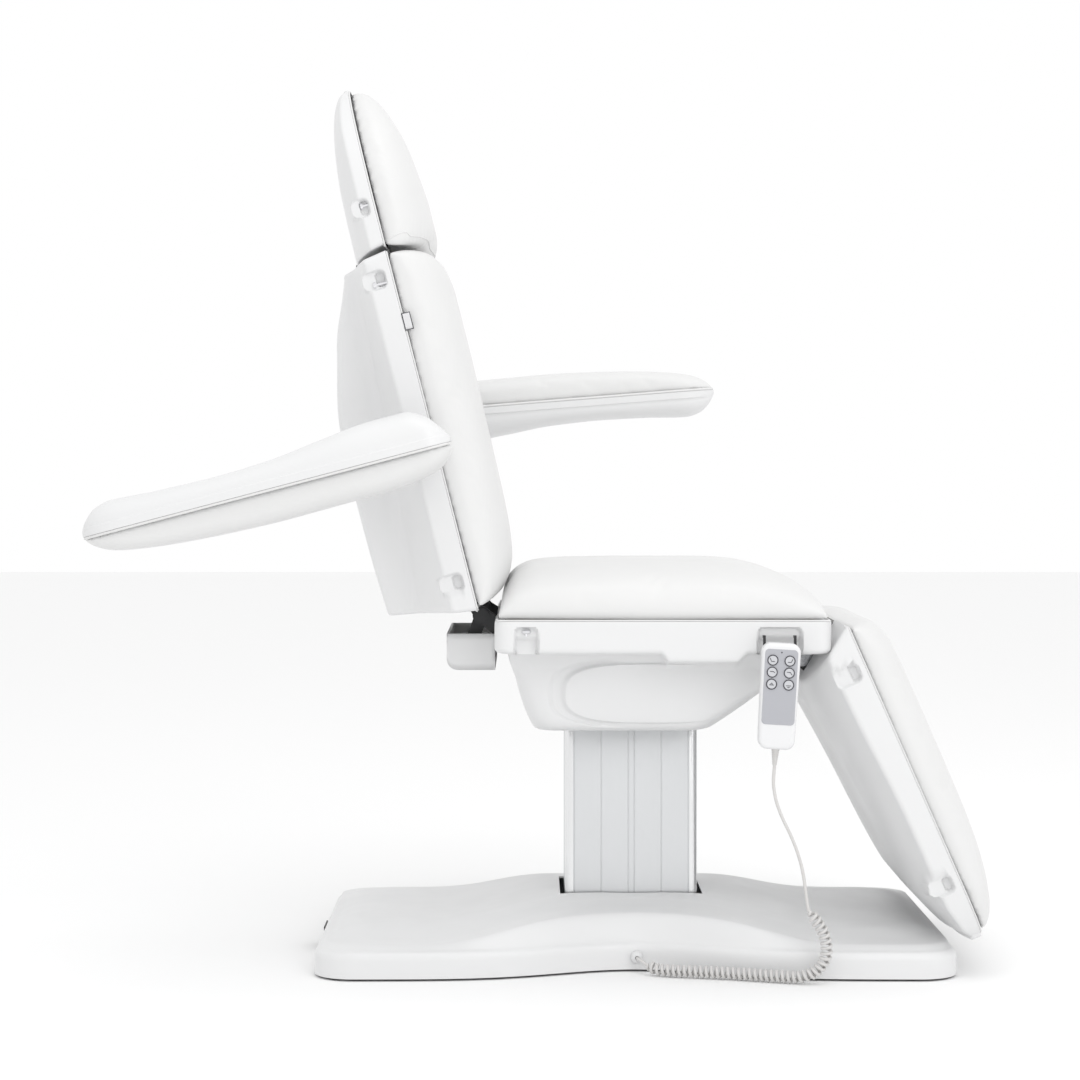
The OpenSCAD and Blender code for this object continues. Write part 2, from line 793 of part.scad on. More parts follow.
module side_screws(us) {
    color(bright) both_sides() for (u = us) translate([u, half_w - 9, -30]) {
        cylinder(r = 5, h = 4);
        cylinder(r = 2.2, h = 29.5);
    }
}

module back_screws() {
    on_back() side_screws([75, 511]);
}

module arm_shafts() {
    color(bright) on_back() both_sides() translate([arm_hub[0], 0, arm_hub[1]])
        rotate([-90, 0, 0]) {
            translate([0, 0, 255]) cylinder(r = pin_r, h = 165);
            translate([0, 0, 283]) cylinder(r = 11, h = 55);
        }
}

// ---------- Headrest ----------

module head_frame() {
    color(steel) on_head() {
        both_sides() span([30, 150, -26], [175, 170, -8]);
        for (u = [30, 155]) span([u, -150, -24], [u + 20, 150, -10]);
        both_sides() lug(52, head_hub,
            [[6, -49.5], [30, -47], [48, -30], [48, -14], [32, -14], [6, -42]]);
    }
}

module head_hinge_pins() {
    color(bright) on_head() both_sides() plate(50, 18) translate(head_hub)
        circle(r = lug_pin_r - 0.05);
}

function head_round(u) = pow(max(0, 1 - pow(max(0, u - 20) / (head_l - 20), 2.5)), 1 / 2.5);

head_depth = [[0, 54], [60, 53], [110, 51], [160, 46], [210, 37], [245, 26], [262, 17],
    [270, 10]];
head_top = [[0, 30], [6, 50], [18, 66], [45, 76], [80, 76], [110, 72], [160, 65],
    [210, 51], [245, 35], [262, 22], [269, 12]];

function head_half(u) = max(40, (half_w - 2) * head_round(u));
function head_section(u) =
    let (half = head_half(u), depth = lookup(u, head_depth))
    [half, min(24, depth * 0.45), depth * 0.72, depth, max(12, half * 0.72 - 20)];

module head_shell() {
    us = [0, 60, 110, 150, 185, 215, 240, 256, 264, 270];
    color(plastic) on_head() difference() {
        shell_run([for (u = us) concat([u, 0], head_section(u))]);
        lug_notch(head_hub);
        both_sides() span([-5, 48, -58], [6, 60, -40]);
        both_sides() span([52, half_w - 16, -40], [76, half_w + 5, -12]);
    }
}

module head_cushion() {
    color(vinyl) on_head()
        cushion([for (p = head_top) [p[0], head_half(p[0]) - 1, p[1]]]);
}

module head_screws() {
    color(bright) on_head() both_sides() translate([64, half_w - 14, -20]) {
        cylinder(r = 5, h = 4);
        cylinder(r = 2.2, h = 19.5);
    }
}

// ---------- Leg rest ----------

leg_tip = [36.6, -62];

module leg_frame() {
    color(steel) on_leg() {
        both_sides() span([80, 215, -32], [430, 240, -8]);
        for (u = [84, 250, 400]) span([u, -215, -30], [u + 26, 215, -10]);
        both_sides() ear(leg_hub, [[7, -28], [50, -38], [100, -32], [110, -30], [110, -10],
            [60, -6], [8, -5]], leg_tip);
    }
}

leg_depth = [[0, 90], [60, 91], [120, 87], [226, 78], [370, 66], [416, 58], [467, 45],
    [494, 29], [506, 15]];

function leg_end(u) = pow(max(0, 1 - pow(max(0, u - 400) / 112, 3)), 1 / 3);
function leg_half(u) = (half_w - 60) + 60 * leg_end(u);
function leg_section(u) =
    let (depth = lookup(u, leg_depth))
    [leg_half(u), min(lookup(u, [[0, 44], [115, 44], [322, 32]]), depth * 0.6),
     depth * 0.8, depth, 190];

module leg_shell() {
    us = [0, 60, 130, 226, 320, 400, 440, 470, 492, 504];
    slant = function(u) 0.74 * max(0, 1 - u / 130);
    color(plastic) on_leg() difference() {
        shell_run([for (u = us) concat([u, slant(u)], leg_section(u))]);
        span([-10, -window_y, -76], [64, window_y, 5]);
        screw_window(38, 26);
        screw_window(430, 24);
    }
}

module leg_cushion() {
    profile = [[1, 10], [4, 26], [14, 42], [34, 55], [70, 62], [160, 64], [312, 64],
        [380, 61], [430, 51], [468, 38], [492, 24], [504, 10]];
    color(vinyl) on_leg() cushion([for (p = profile) [p[0], leg_half(p[0]) - 1, p[1]]]);
}

module leg_screws() {
    on_leg() side_screws([51, 442]);
}

// ---------- Armrests ----------

function arm_half(u) =
    let (a = max(0, 1 - u / 42), b = max(0, (u - arm_l + 70) / 70))
    arm_w / 2 * pow(max(0, 1 - pow(max(a, b), 2.4)), 1 / 2.4);

arm_pad_top = [[3, 9], [8, 18], [16, 27], [32, 36], [53, 41], [106, 46], [186, 46],
    [268, 47], [342, 45], [422, 41], [491, 34], [528, 26], [547, 15], [554, 7]];
arm_shell_depth = [[2, 8], [6, 14], [16, 27], [32, 46], [60, 58], [106, 59], [186, 50],
    [268, 40], [349, 37], [438, 39], [505, 44], [532, 35], [549, 17], [555, 8]];

module arm_pad() {
    color(vinyl) loft([for (p = arm_pad_top)
        cushion_ring(p[0], arm_half(p[0]), p[1], 2.6, 14)]);
}

function arm_path(u, depth, half) =
    [for (i = [0:11]) let (a = 180 * i / 11)
        [u, half * sgn_pow(cos(a), 0.7), -depth * pow(max(sin(a), 0), 0.7)]];

module arm_shell() {
    last = len(arm_shell_depth) - 1;
    color(plastic) tray(
        [for (p = arm_shell_depth) arm_path(p[0], p[1], arm_half(p[0]))],
        [for (i = [0:last]) let (p = arm_shell_depth[i])
            arm_path(p[0] + (i == 0 ? 2 : i == last ? -2 : 0), max(p[1] - skin, 2),
                     arm_half(p[0]) - skin)]);
}

module arm_bar() {
    color(steel) {
        difference() {
            union() {
                span([arm_pivot[0], -10, -22], [440, 10, -14]);
                translate([arm_pivot[0], -20, arm_pivot[1]]) rotate([-90, 0, 0])
                    cylinder(r = 12.5, h = 40);
            }
            translate([arm_pivot[0], -30, arm_pivot[1]]) rotate([-90, 0, 0])
                cylinder(r = pin_r + 0.05, h = 60);
        }
    }
}

// The shell's side wall is open round the shaft on the side next to the bed
module shell_with_hole(side) {
    difference() {
        arm_shell();
        translate([arm_pivot[0], side * 70, arm_pivot[1]]) rotate([side * 90, 0, 0])
            cylinder(r = 12, h = 50);
    }
}

module right_arm_shell() { color(plastic) on_right_arm() shell_with_hole(1); }
module right_arm_bar() { on_right_arm() arm_bar(); }
module right_arm_pad() { on_right_arm() arm_pad(); }
module left_arm_shell() { color(plastic) on_left_arm() shell_with_hole(-1); }
module left_arm_bar() { on_left_arm() arm_bar(); }
module left_arm_pad() { on_left_arm() arm_pad(); }

// ---------- Drawing ----------

base_frame();
levelling_feet();
base_cover();
control_box();
mains_inlet();
cord_gland();
column_foot();
column_bolts();
column_outer();
column_glides();
lift_actuator();
handset_cord();
handset_cord_curl();
column_inner();
lift_rod();
seat_frame();
seat_board();
seat_cover();
seat_cushion();
rear_hinge_box();
seat_screws();
back_hinge_pins();
leg_hinge_pins();
back_actuator();
leg_actuator();
handset_hook();
handset_front();
handset_back();
handset_label();
cord_strain_relief();
button_1();
button_2();
button_3();
button_4();
button_5();
button_6();
back_rod();
leg_rod();
back_frame();
back_shell();
back_cushion();
back_tag();
back_screws();
arm_shafts();
head_hinge_pins();
head_frame();
head_shell();
head_cushion();
head_screws();
leg_frame();
leg_shell();
leg_cushion();
leg_screws();
right_arm_shell();
right_arm_bar();
right_arm_pad();
left_arm_shell();
left_arm_bar();
left_arm_pad();
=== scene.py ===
"""Facial treatment bed: the visual model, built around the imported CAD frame."""
import json
import math

import bmesh
import bpy
import numpy as np
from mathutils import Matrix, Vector
from mathutils.bvhtree import BVHTree


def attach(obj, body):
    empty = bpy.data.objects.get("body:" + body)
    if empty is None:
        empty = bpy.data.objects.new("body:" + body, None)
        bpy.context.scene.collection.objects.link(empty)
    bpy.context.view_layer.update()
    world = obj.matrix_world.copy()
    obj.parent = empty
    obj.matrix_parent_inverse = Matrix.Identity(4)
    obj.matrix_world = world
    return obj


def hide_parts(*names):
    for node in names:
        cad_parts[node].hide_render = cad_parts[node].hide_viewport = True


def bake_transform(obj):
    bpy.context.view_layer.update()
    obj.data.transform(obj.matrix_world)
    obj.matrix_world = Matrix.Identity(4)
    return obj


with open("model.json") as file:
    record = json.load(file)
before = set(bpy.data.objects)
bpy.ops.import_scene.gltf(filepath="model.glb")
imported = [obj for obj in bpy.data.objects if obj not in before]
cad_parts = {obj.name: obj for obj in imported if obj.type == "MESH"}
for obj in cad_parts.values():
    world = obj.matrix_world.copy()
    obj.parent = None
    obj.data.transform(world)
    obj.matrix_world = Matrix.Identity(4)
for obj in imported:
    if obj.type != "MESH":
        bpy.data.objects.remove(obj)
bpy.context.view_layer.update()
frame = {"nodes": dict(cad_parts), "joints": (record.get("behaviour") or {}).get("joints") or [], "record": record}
MM = 0.001


# ---------- Small tools ----------

def smooth(x, table):
    """A smooth curve through the table's (place, value) pairs, without overshoot."""
    xs, ys = np.array(table, float).T
    d = np.diff(ys) / np.diff(xs)
    both = d[:-1] * d[1:]
    inner = np.where(both > 0, 2 * both / (d[:-1] + d[1:] + np.where(both > 0, 0, 1)), 0)
    m = np.concatenate([[d[0]], inner, [d[-1]]])
    x = np.clip(np.asarray(x, float), xs[0], xs[-1])
    i = np.clip(np.searchsorted(xs, x) - 1, 0, len(xs) - 2)
    h = xs[i + 1] - xs[i]
    t = (x - xs[i]) / h
    return ((2 * t**3 - 3 * t**2 + 1) * ys[i] + (t**3 - 2 * t**2 + t) * h * m[i]
            + (3 * t**2 - 2 * t**3) * ys[i + 1] + (t**3 - t**2) * h * m[i + 1])


def step(x, low, high):
    """0 below low, 1 above high, smooth between."""
    t = np.clip((np.asarray(x, float) - low) / (high - low), 0, 1)
    return t * t * (3 - 2 * t)


def band(x, low, high, soft):
    """1 between low and high, 0 outside, with soft edges."""
    return step(x, low - soft / 2, low + soft / 2) * (1 - step(x, high - soft / 2, high + soft / 2))


class Place:
    """A section's own frame: u along it, y across the bed, w out of its cushion."""

    def __init__(self, origin, angle):
        self.origin = np.array(origin, float)
        self.u = np.array([math.cos(angle), 0, math.sin(angle)])
        self.w = np.array([-math.sin(angle), 0, math.cos(angle)])

    def flip(self):
        self.w = -self.w
        return self

    def world(self, points):
        p = np.asarray(points, float)
        y = np.array([0, 1.0, 0])
        return (self.origin + p[..., 0:1] * self.u + p[..., 1:2] * y + p[..., 2:3] * self.w)


def joint(name):
    return next(j for j in frame["joints"] if j["name"] == name)


def mesh_object(name, verts, faces, smooth_faces=True):
    mesh = bpy.data.meshes.new(name)
    mesh.from_pydata([tuple(v) for v in verts], [], [tuple(f) for f in faces])
    obj = bpy.data.objects.new(name, mesh)
    bpy.context.scene.collection.objects.link(obj)
    if smooth_faces:
        mesh.shade_smooth()
    return obj


def grid_object(name, rows, ring=False):
    """A mesh over a grid of points; ring closes each row on itself."""
    rows = np.asarray(rows, float)
    m, n = rows.shape[:2]
    faces = []
    for i in range(m - 1):
        for j in range(n if ring else n - 1):
            k = (j + 1) % n
            faces.append((i * n + j, i * n + k, (i + 1) * n + k, (i + 1) * n + j))
    obj = mesh_object(name, rows.reshape(-1, 3), faces)
    clean(obj)
    return obj


def clean(obj, distance=2e-5):
    """Merges doubled points and turns every face outwards."""
    bm = bmesh.new()
    bm.from_mesh(obj.data)
    bmesh.ops.remove_doubles(bm, verts=bm.verts, dist=distance)
    bmesh.ops.dissolve_degenerate(bm, edges=bm.edges, dist=distance / 4)
    bmesh.ops.recalc_face_normals(bm, faces=bm.faces)
    bm.to_mesh(obj.data)
    bm.free()
    obj.data.shade_smooth()


def apply_modifiers(obj):
    bpy.context.view_layer.update()
    graph = bpy.context.evaluated_depsgraph_get()
    mesh = bpy.data.meshes.new_from_object(obj.evaluated_get(graph))
    old = obj.data
    obj.modifiers.clear()
    obj.data = mesh
    bpy.data.meshes.remove(old)


def thicken(obj, thickness):
    """Gives an open skin its wall, inwards."""
    mod = obj.modifiers.new("wall", "SOLIDIFY")
    mod.thickness = thickness
    mod.offset = -1
    mod.use_even_offset = False
    apply_modifiers(obj)


def bevel(obj, width, segments=3, angle=30):
    mod = obj.modifiers.new("edges", "BEVEL")
    mod.width = width
    mod.segments = segments
    mod.limit_method = "ANGLE"
    mod.angle_limit = math.radians(angle)
    mod.harden_normals = False
    apply_modifiers(obj)


def join(name, objects):
    """One piece from several objects."""
    bm = bmesh.new()
    for o in objects:
        part = o.data.copy()
        part.transform(o.matrix_world)
        bm.from_mesh(part)
        bpy.data.meshes.remove(part)
    mesh = bpy.data.meshes.new(name)
    bm.to_mesh(mesh)
    bm.free()
    for o in objects:
        bpy.data.objects.remove(o)
    obj = bpy.data.objects.new(name, mesh)
    bpy.context.scene.collection.objects.link(obj)
    mesh.shade_smooth()
    return obj


def sharp_by_angle(obj, degrees=35):
    """Marks edges sharper than this, so that they stay crisp on a smooth mesh."""
    bm = bmesh.new()
    bm.from_mesh(obj.data)
    for e in bm.edges:
        if len(e.link_faces) == 2:
            e.smooth = e.calc_face_angle(0) < math.radians(degrees)
    bm.to_mesh(obj.data)
    bm.free()


def open_box(obj, place, low, high):
    """Opens a skin where it passes through a box, given in the section's own frame."""
    low, high = np.array(low, float), np.array(high, float)
    axes = (place.u, np.array([0, 1.0, 0]), place.w)
    bm = bmesh.new()
    bm.from_mesh(obj.data)

    def local(co):
        rel = np.array(co) - place.origin
        return np.array([rel @ a for a in axes])

    def near_faces():
        centres = np.array([f.calc_center_median()[:] for f in bm.faces]) - place.origin
        at = np.column_stack([centres @ a for a in axes])
        keep = ((at > low - .02) & (at < high + .02)).all(axis=1)
        return [f for f, k in zip(bm.faces, keep) if k]

    for axis in axes:
        for corner in (low, high):
            near = near_faces()
            parts = set(near)
            for f in near:
                parts.update(f.verts, f.edges)
            bmesh.ops.bisect_plane(bm, geom=list(parts), dist=1e-6,
                                   plane_co=tuple(place.world(corner)), plane_no=tuple(axis))
    gone = [f for f in near_faces() if (local(f.calc_center_median()) > low).all()
            and (local(f.calc_center_median()) < high).all()]
    bmesh.ops.delete(bm, geom=gone, context="FACES")
    bm.to_mesh(obj.data)
    bm.free()


def rounded_line(corners, radii, straight, arc):
    """An open line with round corners, always with the same number of points."""
    c = np.array(corners, float)
    out = []
    start = c[0]
    for i in range(1, len(c)):
        if i < len(c) - 1:
            before, after = c[i] - c[i - 1], c[i + 1] - c[i]
            la, lb = np.linalg.norm(before), np.linalg.norm(after)
            t = min(radii[i - 1], 0.45 * la, 0.45 * lb)
            enter, leave = c[i] - before / la * t, c[i] + after / lb * t
        else:
            enter = leave = c[i]
        n = straight[i - 1]
        out += [start + (enter - start) * k / n for k in range(n)]
        if i < len(c) - 1:
            for k in range(arc):
                s = k / arc
                out.append((1 - s)**2 * enter + 2 * s * (1 - s) * c[i] + s * s * leave)
            start = leave
    out.append(c[-1])
    return np.array(out)


def mirrored(half_line):
    """A line from rim to spine, and back up to the other rim."""
    other = half_line[-2::-1] * [-1, 1]
    return np.vstack([half_line, other])


# ---------- Camera, light and floor ----------

CAMERA_X = -0.168
CAMERA_HEIGHT = 0.775
CAMERA_AWAY = 4.3
PICTURE = 1080
FOCAL = 2666


def camera():
    data = bpy.data.cameras.new("camera")
    data.sensor_width = 36
    data.lens = 36 * FOCAL / PICTURE
    data.shift_x = 15 / PICTURE
    data.shift_y = -75 / PICTURE
    obj = bpy.data.objects.new("camera", data)
    obj.location = (CAMERA_X, -CAMERA_AWAY, CAMERA_HEIGHT)
    obj.rotation_euler = (math.pi / 2, 0, 0)
    bpy.context.scene.collection.objects.link(obj)
    bpy.context.scene.camera = obj


camera()


# ---------- Materials ----------

def set_inputs(node, **values):
    """Sets a node's inputs by name; a low line stands for a space."""
    for name, value in values.items():
        node.inputs[name.replace("_", " ")].default_value = value
    return node


def material(name, color, roughness, metallic=0.0, bump=(), sheen=0.0, blotch=0.0,
             rough_var=0.0, stretch=(1, 1, 1)):
    """A procedural finish: bump is a list of (kind, scale, strength, distance)."""
    mat = bpy.data.materials.new(name)
    mat.use_nodes = True
    nodes, links = mat.node_tree.nodes, mat.node_tree.links
    shader = set_inputs(nodes["Principled BSDF"], Metallic=metallic, Coat_Weight=0,
                        Coat_Roughness=0.15, Sheen_Weight=sheen, Sheen_Roughness=0.4,
                        Specular_IOR_Level=0.5)
    coord = nodes.new("ShaderNodeTexCoord")
    mapping = set_inputs(nodes.new("ShaderNodeMapping"), Scale=stretch)
    links.new(coord.outputs["Object"], mapping.inputs["Vector"])

    def texture(kind, **values):
        tex = set_inputs(nodes.new("ShaderNodeTex" + kind), **values)
        links.new(mapping.outputs["Vector"], tex.inputs["Vector"])
        return tex

    def ranged(source, **values):
        node = set_inputs(nodes.new("ShaderNodeMapRange"), **values)
        links.new(source, node.inputs["Value"])
        return node

    def ramp(scale, low, high):
        source = texture("Noise", Scale=scale, Detail=4, Roughness=0.5).outputs["Fac"]
        return ranged(source, From_Min=0.3, From_Max=0.7, To_Min=low,
                      To_Max=high).outputs["Result"]

    set_inputs(shader, Base_Color=(*color, 1), Roughness=roughness)
    if blotch:
        mix = nodes.new("ShaderNodeMix")
        mix.data_type = "RGBA"
        set_inputs(mix, A=(*[c * (1 - blotch) for c in color], 1),
                   B=(*[min(1, c * (1 + blotch)) for c in color], 1))
        links.new(ramp(7, 0, 1), mix.inputs["Factor"])
        links.new(mix.outputs["Result"], shader.inputs["Base Color"])
    if rough_var:
        links.new(ramp(23, roughness - rough_var, roughness + rough_var),
                  shader.inputs["Roughness"])
    last = None
    for kind, scale, strength, distance in bump:
        if kind == "noise":
            height = texture("Noise", Scale=scale, Detail=4, Roughness=0.6).outputs["Fac"]
        elif kind == "grain":
            tex = texture("Voronoi", Scale=scale, Randomness=0.9)
            tex.feature = "DISTANCE_TO_EDGE"
            limit = ranged(tex.outputs["Distance"], From_Max=0.22)
            limit.interpolation_type = "SMOOTHSTEP"
            height = limit.outputs["Result"]
        else:
            tex = texture("Wave", Scale=scale)
            tex.bands_direction = kind
            height = tex.outputs["Fac"]
        node = set_inputs(nodes.new("ShaderNodeBump"), Strength=strength, Distance=distance)
        links.new(height, node.inputs["Height"])
        if last:
            links.new(last, node.inputs["Normal"])
        last = node.outputs["Normal"]
    if last:
        links.new(last, shader.inputs["Normal"])
    return mat


M = {
    "white_plastic": material("moulded_plastic", (0.74, 0.742, 0.745), 0.38, blotch=0.008,
                              rough_var=0.05, bump=[("noise", 900, 0.10, 0.0002),
                                                    ("noise", 40, 0.05, 0.0005)]),
    "white_vinyl": material("white_vinyl", (0.72, 0.72, 0.717), 0.46, blotch=0.008,
                            rough_var=0.05, sheen=0.08,
                            bump=[("grain", 520, 0.10, 0.0003), ("noise", 55, 0.10, 0.0012)]),
    "aluminium": material("anodised_aluminium", (0.66, 0.67, 0.68), 0.36, metallic=0.85,
                          rough_var=0.05, bump=[("noise", 60, 0.05, 0.0003)],
                          stretch=(14, 14, 0.6)),
    # A lighter, glossier copy of the aluminium for the column's round corners: a painted highlight.
    "aluminium_painted_highlight": material("aluminium_with_painted_highlight", (0.80, 0.805, 0.81), 0.24, metallic=0.9,
                                 rough_var=0.04, bump=[("noise", 60, 0.04, 0.0002)],
                                 stretch=(14, 14, 0.6)),
    "black_steel": material("black_powder_coat", (0.022, 0.022, 0.024), 0.42, rough_var=0.08,
                            bump=[("noise", 700, 0.2, 0.0003)]),
    "zinc_steel": material("zinc_plate", (0.60, 0.61, 0.63), 0.30, metallic=0.95,
                           blotch=0.06, rough_var=0.08, bump=[("noise", 120, 0.05, 0.0003)]),
    "chrome": material("chrome", (0.82, 0.82, 0.84), 0.09, metallic=1.0, rough_var=0.03,
                       bump=[("noise", 50, 0.02, 0.0002)]),
    "rubber": material("black_rubber", (0.03, 0.03, 0.03), 0.8, rough_var=0.08,
                       bump=[("noise", 300, 0.3, 0.0004)]),
    "black_plastic": material("black_plastic", (0.03, 0.03, 0.033), 0.45, rough_var=0.08,
                              bump=[("noise", 500, 0.2, 0.0003)]),
    "handset_plastic": material("handset_plastic", (0.76, 0.762, 0.77), 0.30, blotch=0.006,
                                rough_var=0.04, bump=[("noise", 1400, 0.06, 0.0001)]),
    "grey_film": material("grey_film", (0.42, 0.425, 0.455), 0.42, blotch=0.02,
                          rough_var=0.05, bump=[("noise", 1600, 0.08, 0.0001)]),
    "key_film": material("key_film", (0.56, 0.565, 0.59), 0.38, blotch=0.01, rough_var=0.04,
                         bump=[("noise", 1600, 0.06, 0.0001)]),
    "ink": material("grey_ink", (0.045, 0.045, 0.055), 0.5, blotch=0.04, rough_var=0.04),
    "cord_sheath": material("cord_sheath", (0.62, 0.61, 0.60), 0.42, blotch=0.01,
                            rough_var=0.05, bump=[("noise", 700, 0.08, 0.0002)]),
    "plywood": material("plywood", (0.62, 0.47, 0.31), 0.7, blotch=0.12, rough_var=0.08,
                        bump=[("noise", 60, 0.2, 0.0005)], stretch=(1, 9, 9)),
    "tag_cloth": material("tag_cloth", (0.70, 0.70, 0.71), 0.75, blotch=0.02, rough_var=0.05,
                          bump=[("X", 600, 0.3, 0.0002), ("Z", 600, 0.3, 0.0002)]),
}

SLOT_OF = {s["node"]: s["material_slot"] for s in frame["record"]["subparts"]}


def finish_piece(obj, body, slot, *nodes, look=None):
    """Gives a new piece its finish and its body, and hides the CAD nodes it stands for."""
    obj.data.materials.clear()
    obj.data.materials.append(M[look or slot])
    if body:
        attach(obj, body)
    if nodes:
        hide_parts(*nodes)
    return obj


# ---------- Places of the sections ----------

SEAT_Z = 0.540
HALF_W = 0.305


def hung_place(pivot, hub_u, hub_w, angle, flipped=False):
    """The place of a section whose hinge is at hub_u, hub_w in its own frame."""
    place = Place((0, 0, 0), angle)
    if flipped:
        place.flip()
    place.origin = np.array(pivot) - hub_u * place.u - hub_w * place.w
    return place


LEAN = math.radians(90 + joint("recline")["range_deg"][0])
DROP = math.radians(-joint("leg_raise")["range_deg"][0])
BACK = hung_place(joint("recline")["pos_m"], -0.017, 0, math.pi / 2 + LEAN, True)
LEG = hung_place(joint("leg_raise")["pos_m"], 0.0075, -0.0164, -DROP)
BACK_L = 0.558
HEAD_GAP = 0.0095
HEAD_L = 0.272
HEAD = Place(BACK.world([BACK_L + HEAD_GAP, 0, 0]), math.pi / 2 + LEAN).flip()
ARM_HINGE_U, ARM_HINGE_W = 0.0535, -0.036
ARM_L = 0.558
WALL = 3 * MM
RIGHT_ARM = hung_place(joint("right_arm_swing")["pos_m"], ARM_HINGE_U, ARM_HINGE_W,
                       math.pi + math.radians(14.7))
LEFT_ARM = hung_place(joint("left_arm_swing")["pos_m"], ARM_HINGE_U, ARM_HINGE_W,
                      math.radians(4.5))


# ---------- Handset cord ----------

CORD_D = 5 * MM
CURL_D = 19 * MM
CORD_ROUTE = [(.2033, -.330, .3242), (.202, -.330, .300), (.206, -.330, .275),
              (.215, -.330, .250), (.227, -.330, .225), (.237, -.330, .200),
              (.245, -.330, .172), (.250, -.330, .140), (.254, -.330, .112)]
CURL_ROUTE = [(.254, -.330, .112), (.263, -.330, .100), (.275, -.329, .082),
              (.281, -.328, .060), (.279, -.326, .038), (.266, -.324, .020),
              (.244, -.320, .011), (.215, -.311, .010), (.180, -.299, .010),
              (.140, -.286, .010), (.100, -.276, .010), (.060, -.267, .010),
              (.032, -.259, .011), (.016, -.250, .016)]
GLAND_ROUTE = [(.003, -.235, .023), (.005, -.240, .0225), (.010, -.245, .020),
               (.016, -.250, .016)]
TURNS = 44


def through(points, steps):
    """A smooth curve through points, as the CAD route's."""
    p = np.array(points)
    out = []
    for i in range(len(p) - 1):
        a, b, c, d = p[max(i - 1, 0)], p[i], p[i + 1], p[min(i + 2, len(p) - 1)]
        for k in range(steps):
            t = k / steps
            out.append(0.5 * (2 * b + (c - a) * t + (2 * a - 5 * b + 4 * c - d) * t * t
                              + (3 * b - a - 3 * c + d) * t**3))
    return np.array(out + [p[-1]])


def even(points, count):
    """The same line with evenly spaced points."""
    gaps = np.linalg.norm(np.diff(points, axis=0), axis=1)
    at = np.concatenate([[0], np.cumsum(gaps)])
    want = np.linspace(0, at[-1], count)
    return np.stack([np.interp(want, at, points[:, k]) for k in range(3)], axis=1)


def carried_sides(points, first=(0, 1, 0)):
    """A side vector at each point of a line, turned as little as it can be."""
    way = np.gradient(points, axis=0)
    way /= np.linalg.norm(way, axis=1)[:, None]
    side = np.array(first, float)
    out = []
    for t in way:
        side = side - t * (side @ t)
        side /= np.linalg.norm(side)
        out.append(side.copy())
    out = np.array(out)
    return way, out, np.cross(way, out)


def swept(name, points, radius, sides=12, capped=True, first=(0, 1, 0)):
    _, side, up = carried_sides(points, first)
    r = np.broadcast_to(np.asarray(radius, float), (len(points),))
    a = 2 * math.pi * np.arange(sides) / sides
    ring = (points[:, None] + r[:, None, None] * (np.cos(a)[None, :, None] * side[:, None]
                                                  + np.sin(a)[None, :, None] * up[:, None]))
    n = sides
    faces = [(i * n + j, i * n + (j + 1) % n, (i + 1) * n + (j + 1) % n, (i + 1) * n + j)
             for i in range(len(points) - 1) for j in range(n)]
    if capped:
        faces += [tuple(range(n - 1, -1, -1)),
                  tuple((len(points) - 1) * n + j for j in range(n))]
    obj = mesh_object(name, ring.reshape(-1, 3), faces)
    sharp_by_angle(obj, 50)
    return obj


def handset_cord():
    straight = even(through(CORD_ROUTE, 6), 46)
    core = even(through(CURL_ROUTE, 8), 44 * 24 + 1)
    way, side, up = carried_sides(core)
    share = np.linspace(0, 1, len(core))
    radius = (CURL_D - CORD_D) / 2 * np.minimum(step(share, 0, 0.035),
                                               1 - step(share, 0.975, 1.0))
    turn = 2 * math.pi * TURNS * share
    curl = core + radius[:, None] * (np.cos(turn)[:, None] * side + np.sin(turn)[:, None] * up)
    lead = even(through(GLAND_ROUTE, 6), 9)[::-1]
    line = np.vstack([straight[:-1], curl, lead[1:]])
    obj = swept("handset_cord", line, CORD_D / 2, 10)
    finish_piece(obj, None, "cord_sheath", "handset_cord", "handset_cord_curl")
    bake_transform(obj)


handset_cord()


# ---------- Shell of the back, the headrest and the leg rest ----------

def end_rows(line, u, radius, away, slant=0.0, floor=0.0):
    """Rows that turn a shell's section in over a rounded edge and close its end.
    line holds (y, w) from rim to rim; away is +1 at the far end and -1 at the near one."""
    centre = np.array([0.0, floor])
    rows = []
    reach = np.linalg.norm(line - centre, axis=1)[:, None]
    inward = (line - centre) / np.maximum(reach, 1e-6)
    for k in range(1, 7):
        a = math.pi / 2 * k / 6
        rows.append((line - inward * radius * (1 - math.cos(a)), radius * math.sin(a)))
    last = rows[-1][0]
    for t in (0.06, 0.2, 0.45, 0.75, 1.0):
        rows.append((last + (centre - last) * t, radius))
    return [np.column_stack([u + away * push - slant * l[:, 1], l[:, 0], l[:, 1]])
            for l, push in rows]


def shell_rows(stations, section, slant, radius=0.007, near_radius=None):
    """Grid rows of a shell along its stations, with both ends closed."""
    near_radius = near_radius or radius
    body = []
    for u in stations:
        line = section(u)
        body.append(np.column_stack([u - slant(u) * line[:, 1], line[:, 0], line[:, 1]]))
    low = end_rows(section(stations[0]), stations[0], near_radius, -1, slant(stations[0]))
    high = end_rows(section(stations[-1]), stations[-1], radius, 1, slant(stations[-1]))
    return np.array(low[::-1] + body + high)


def rounded_box(a, b, a0, a1, b0, b1, r):
    """Distance to the outline of a box with round corners, negative inside."""
    da = np.maximum(np.maximum(a0 + r - a, a - a1 + r), 0)
    db = np.maximum(np.maximum(b0 + r - b, b - b1 + r), 0)
    inner = np.minimum(np.maximum(np.maximum(a0 + r - a, a - a1 + r),
                                  np.maximum(b0 + r - b, b - b1 + r)), 0)
    return np.hypot(da, db) + inner - r


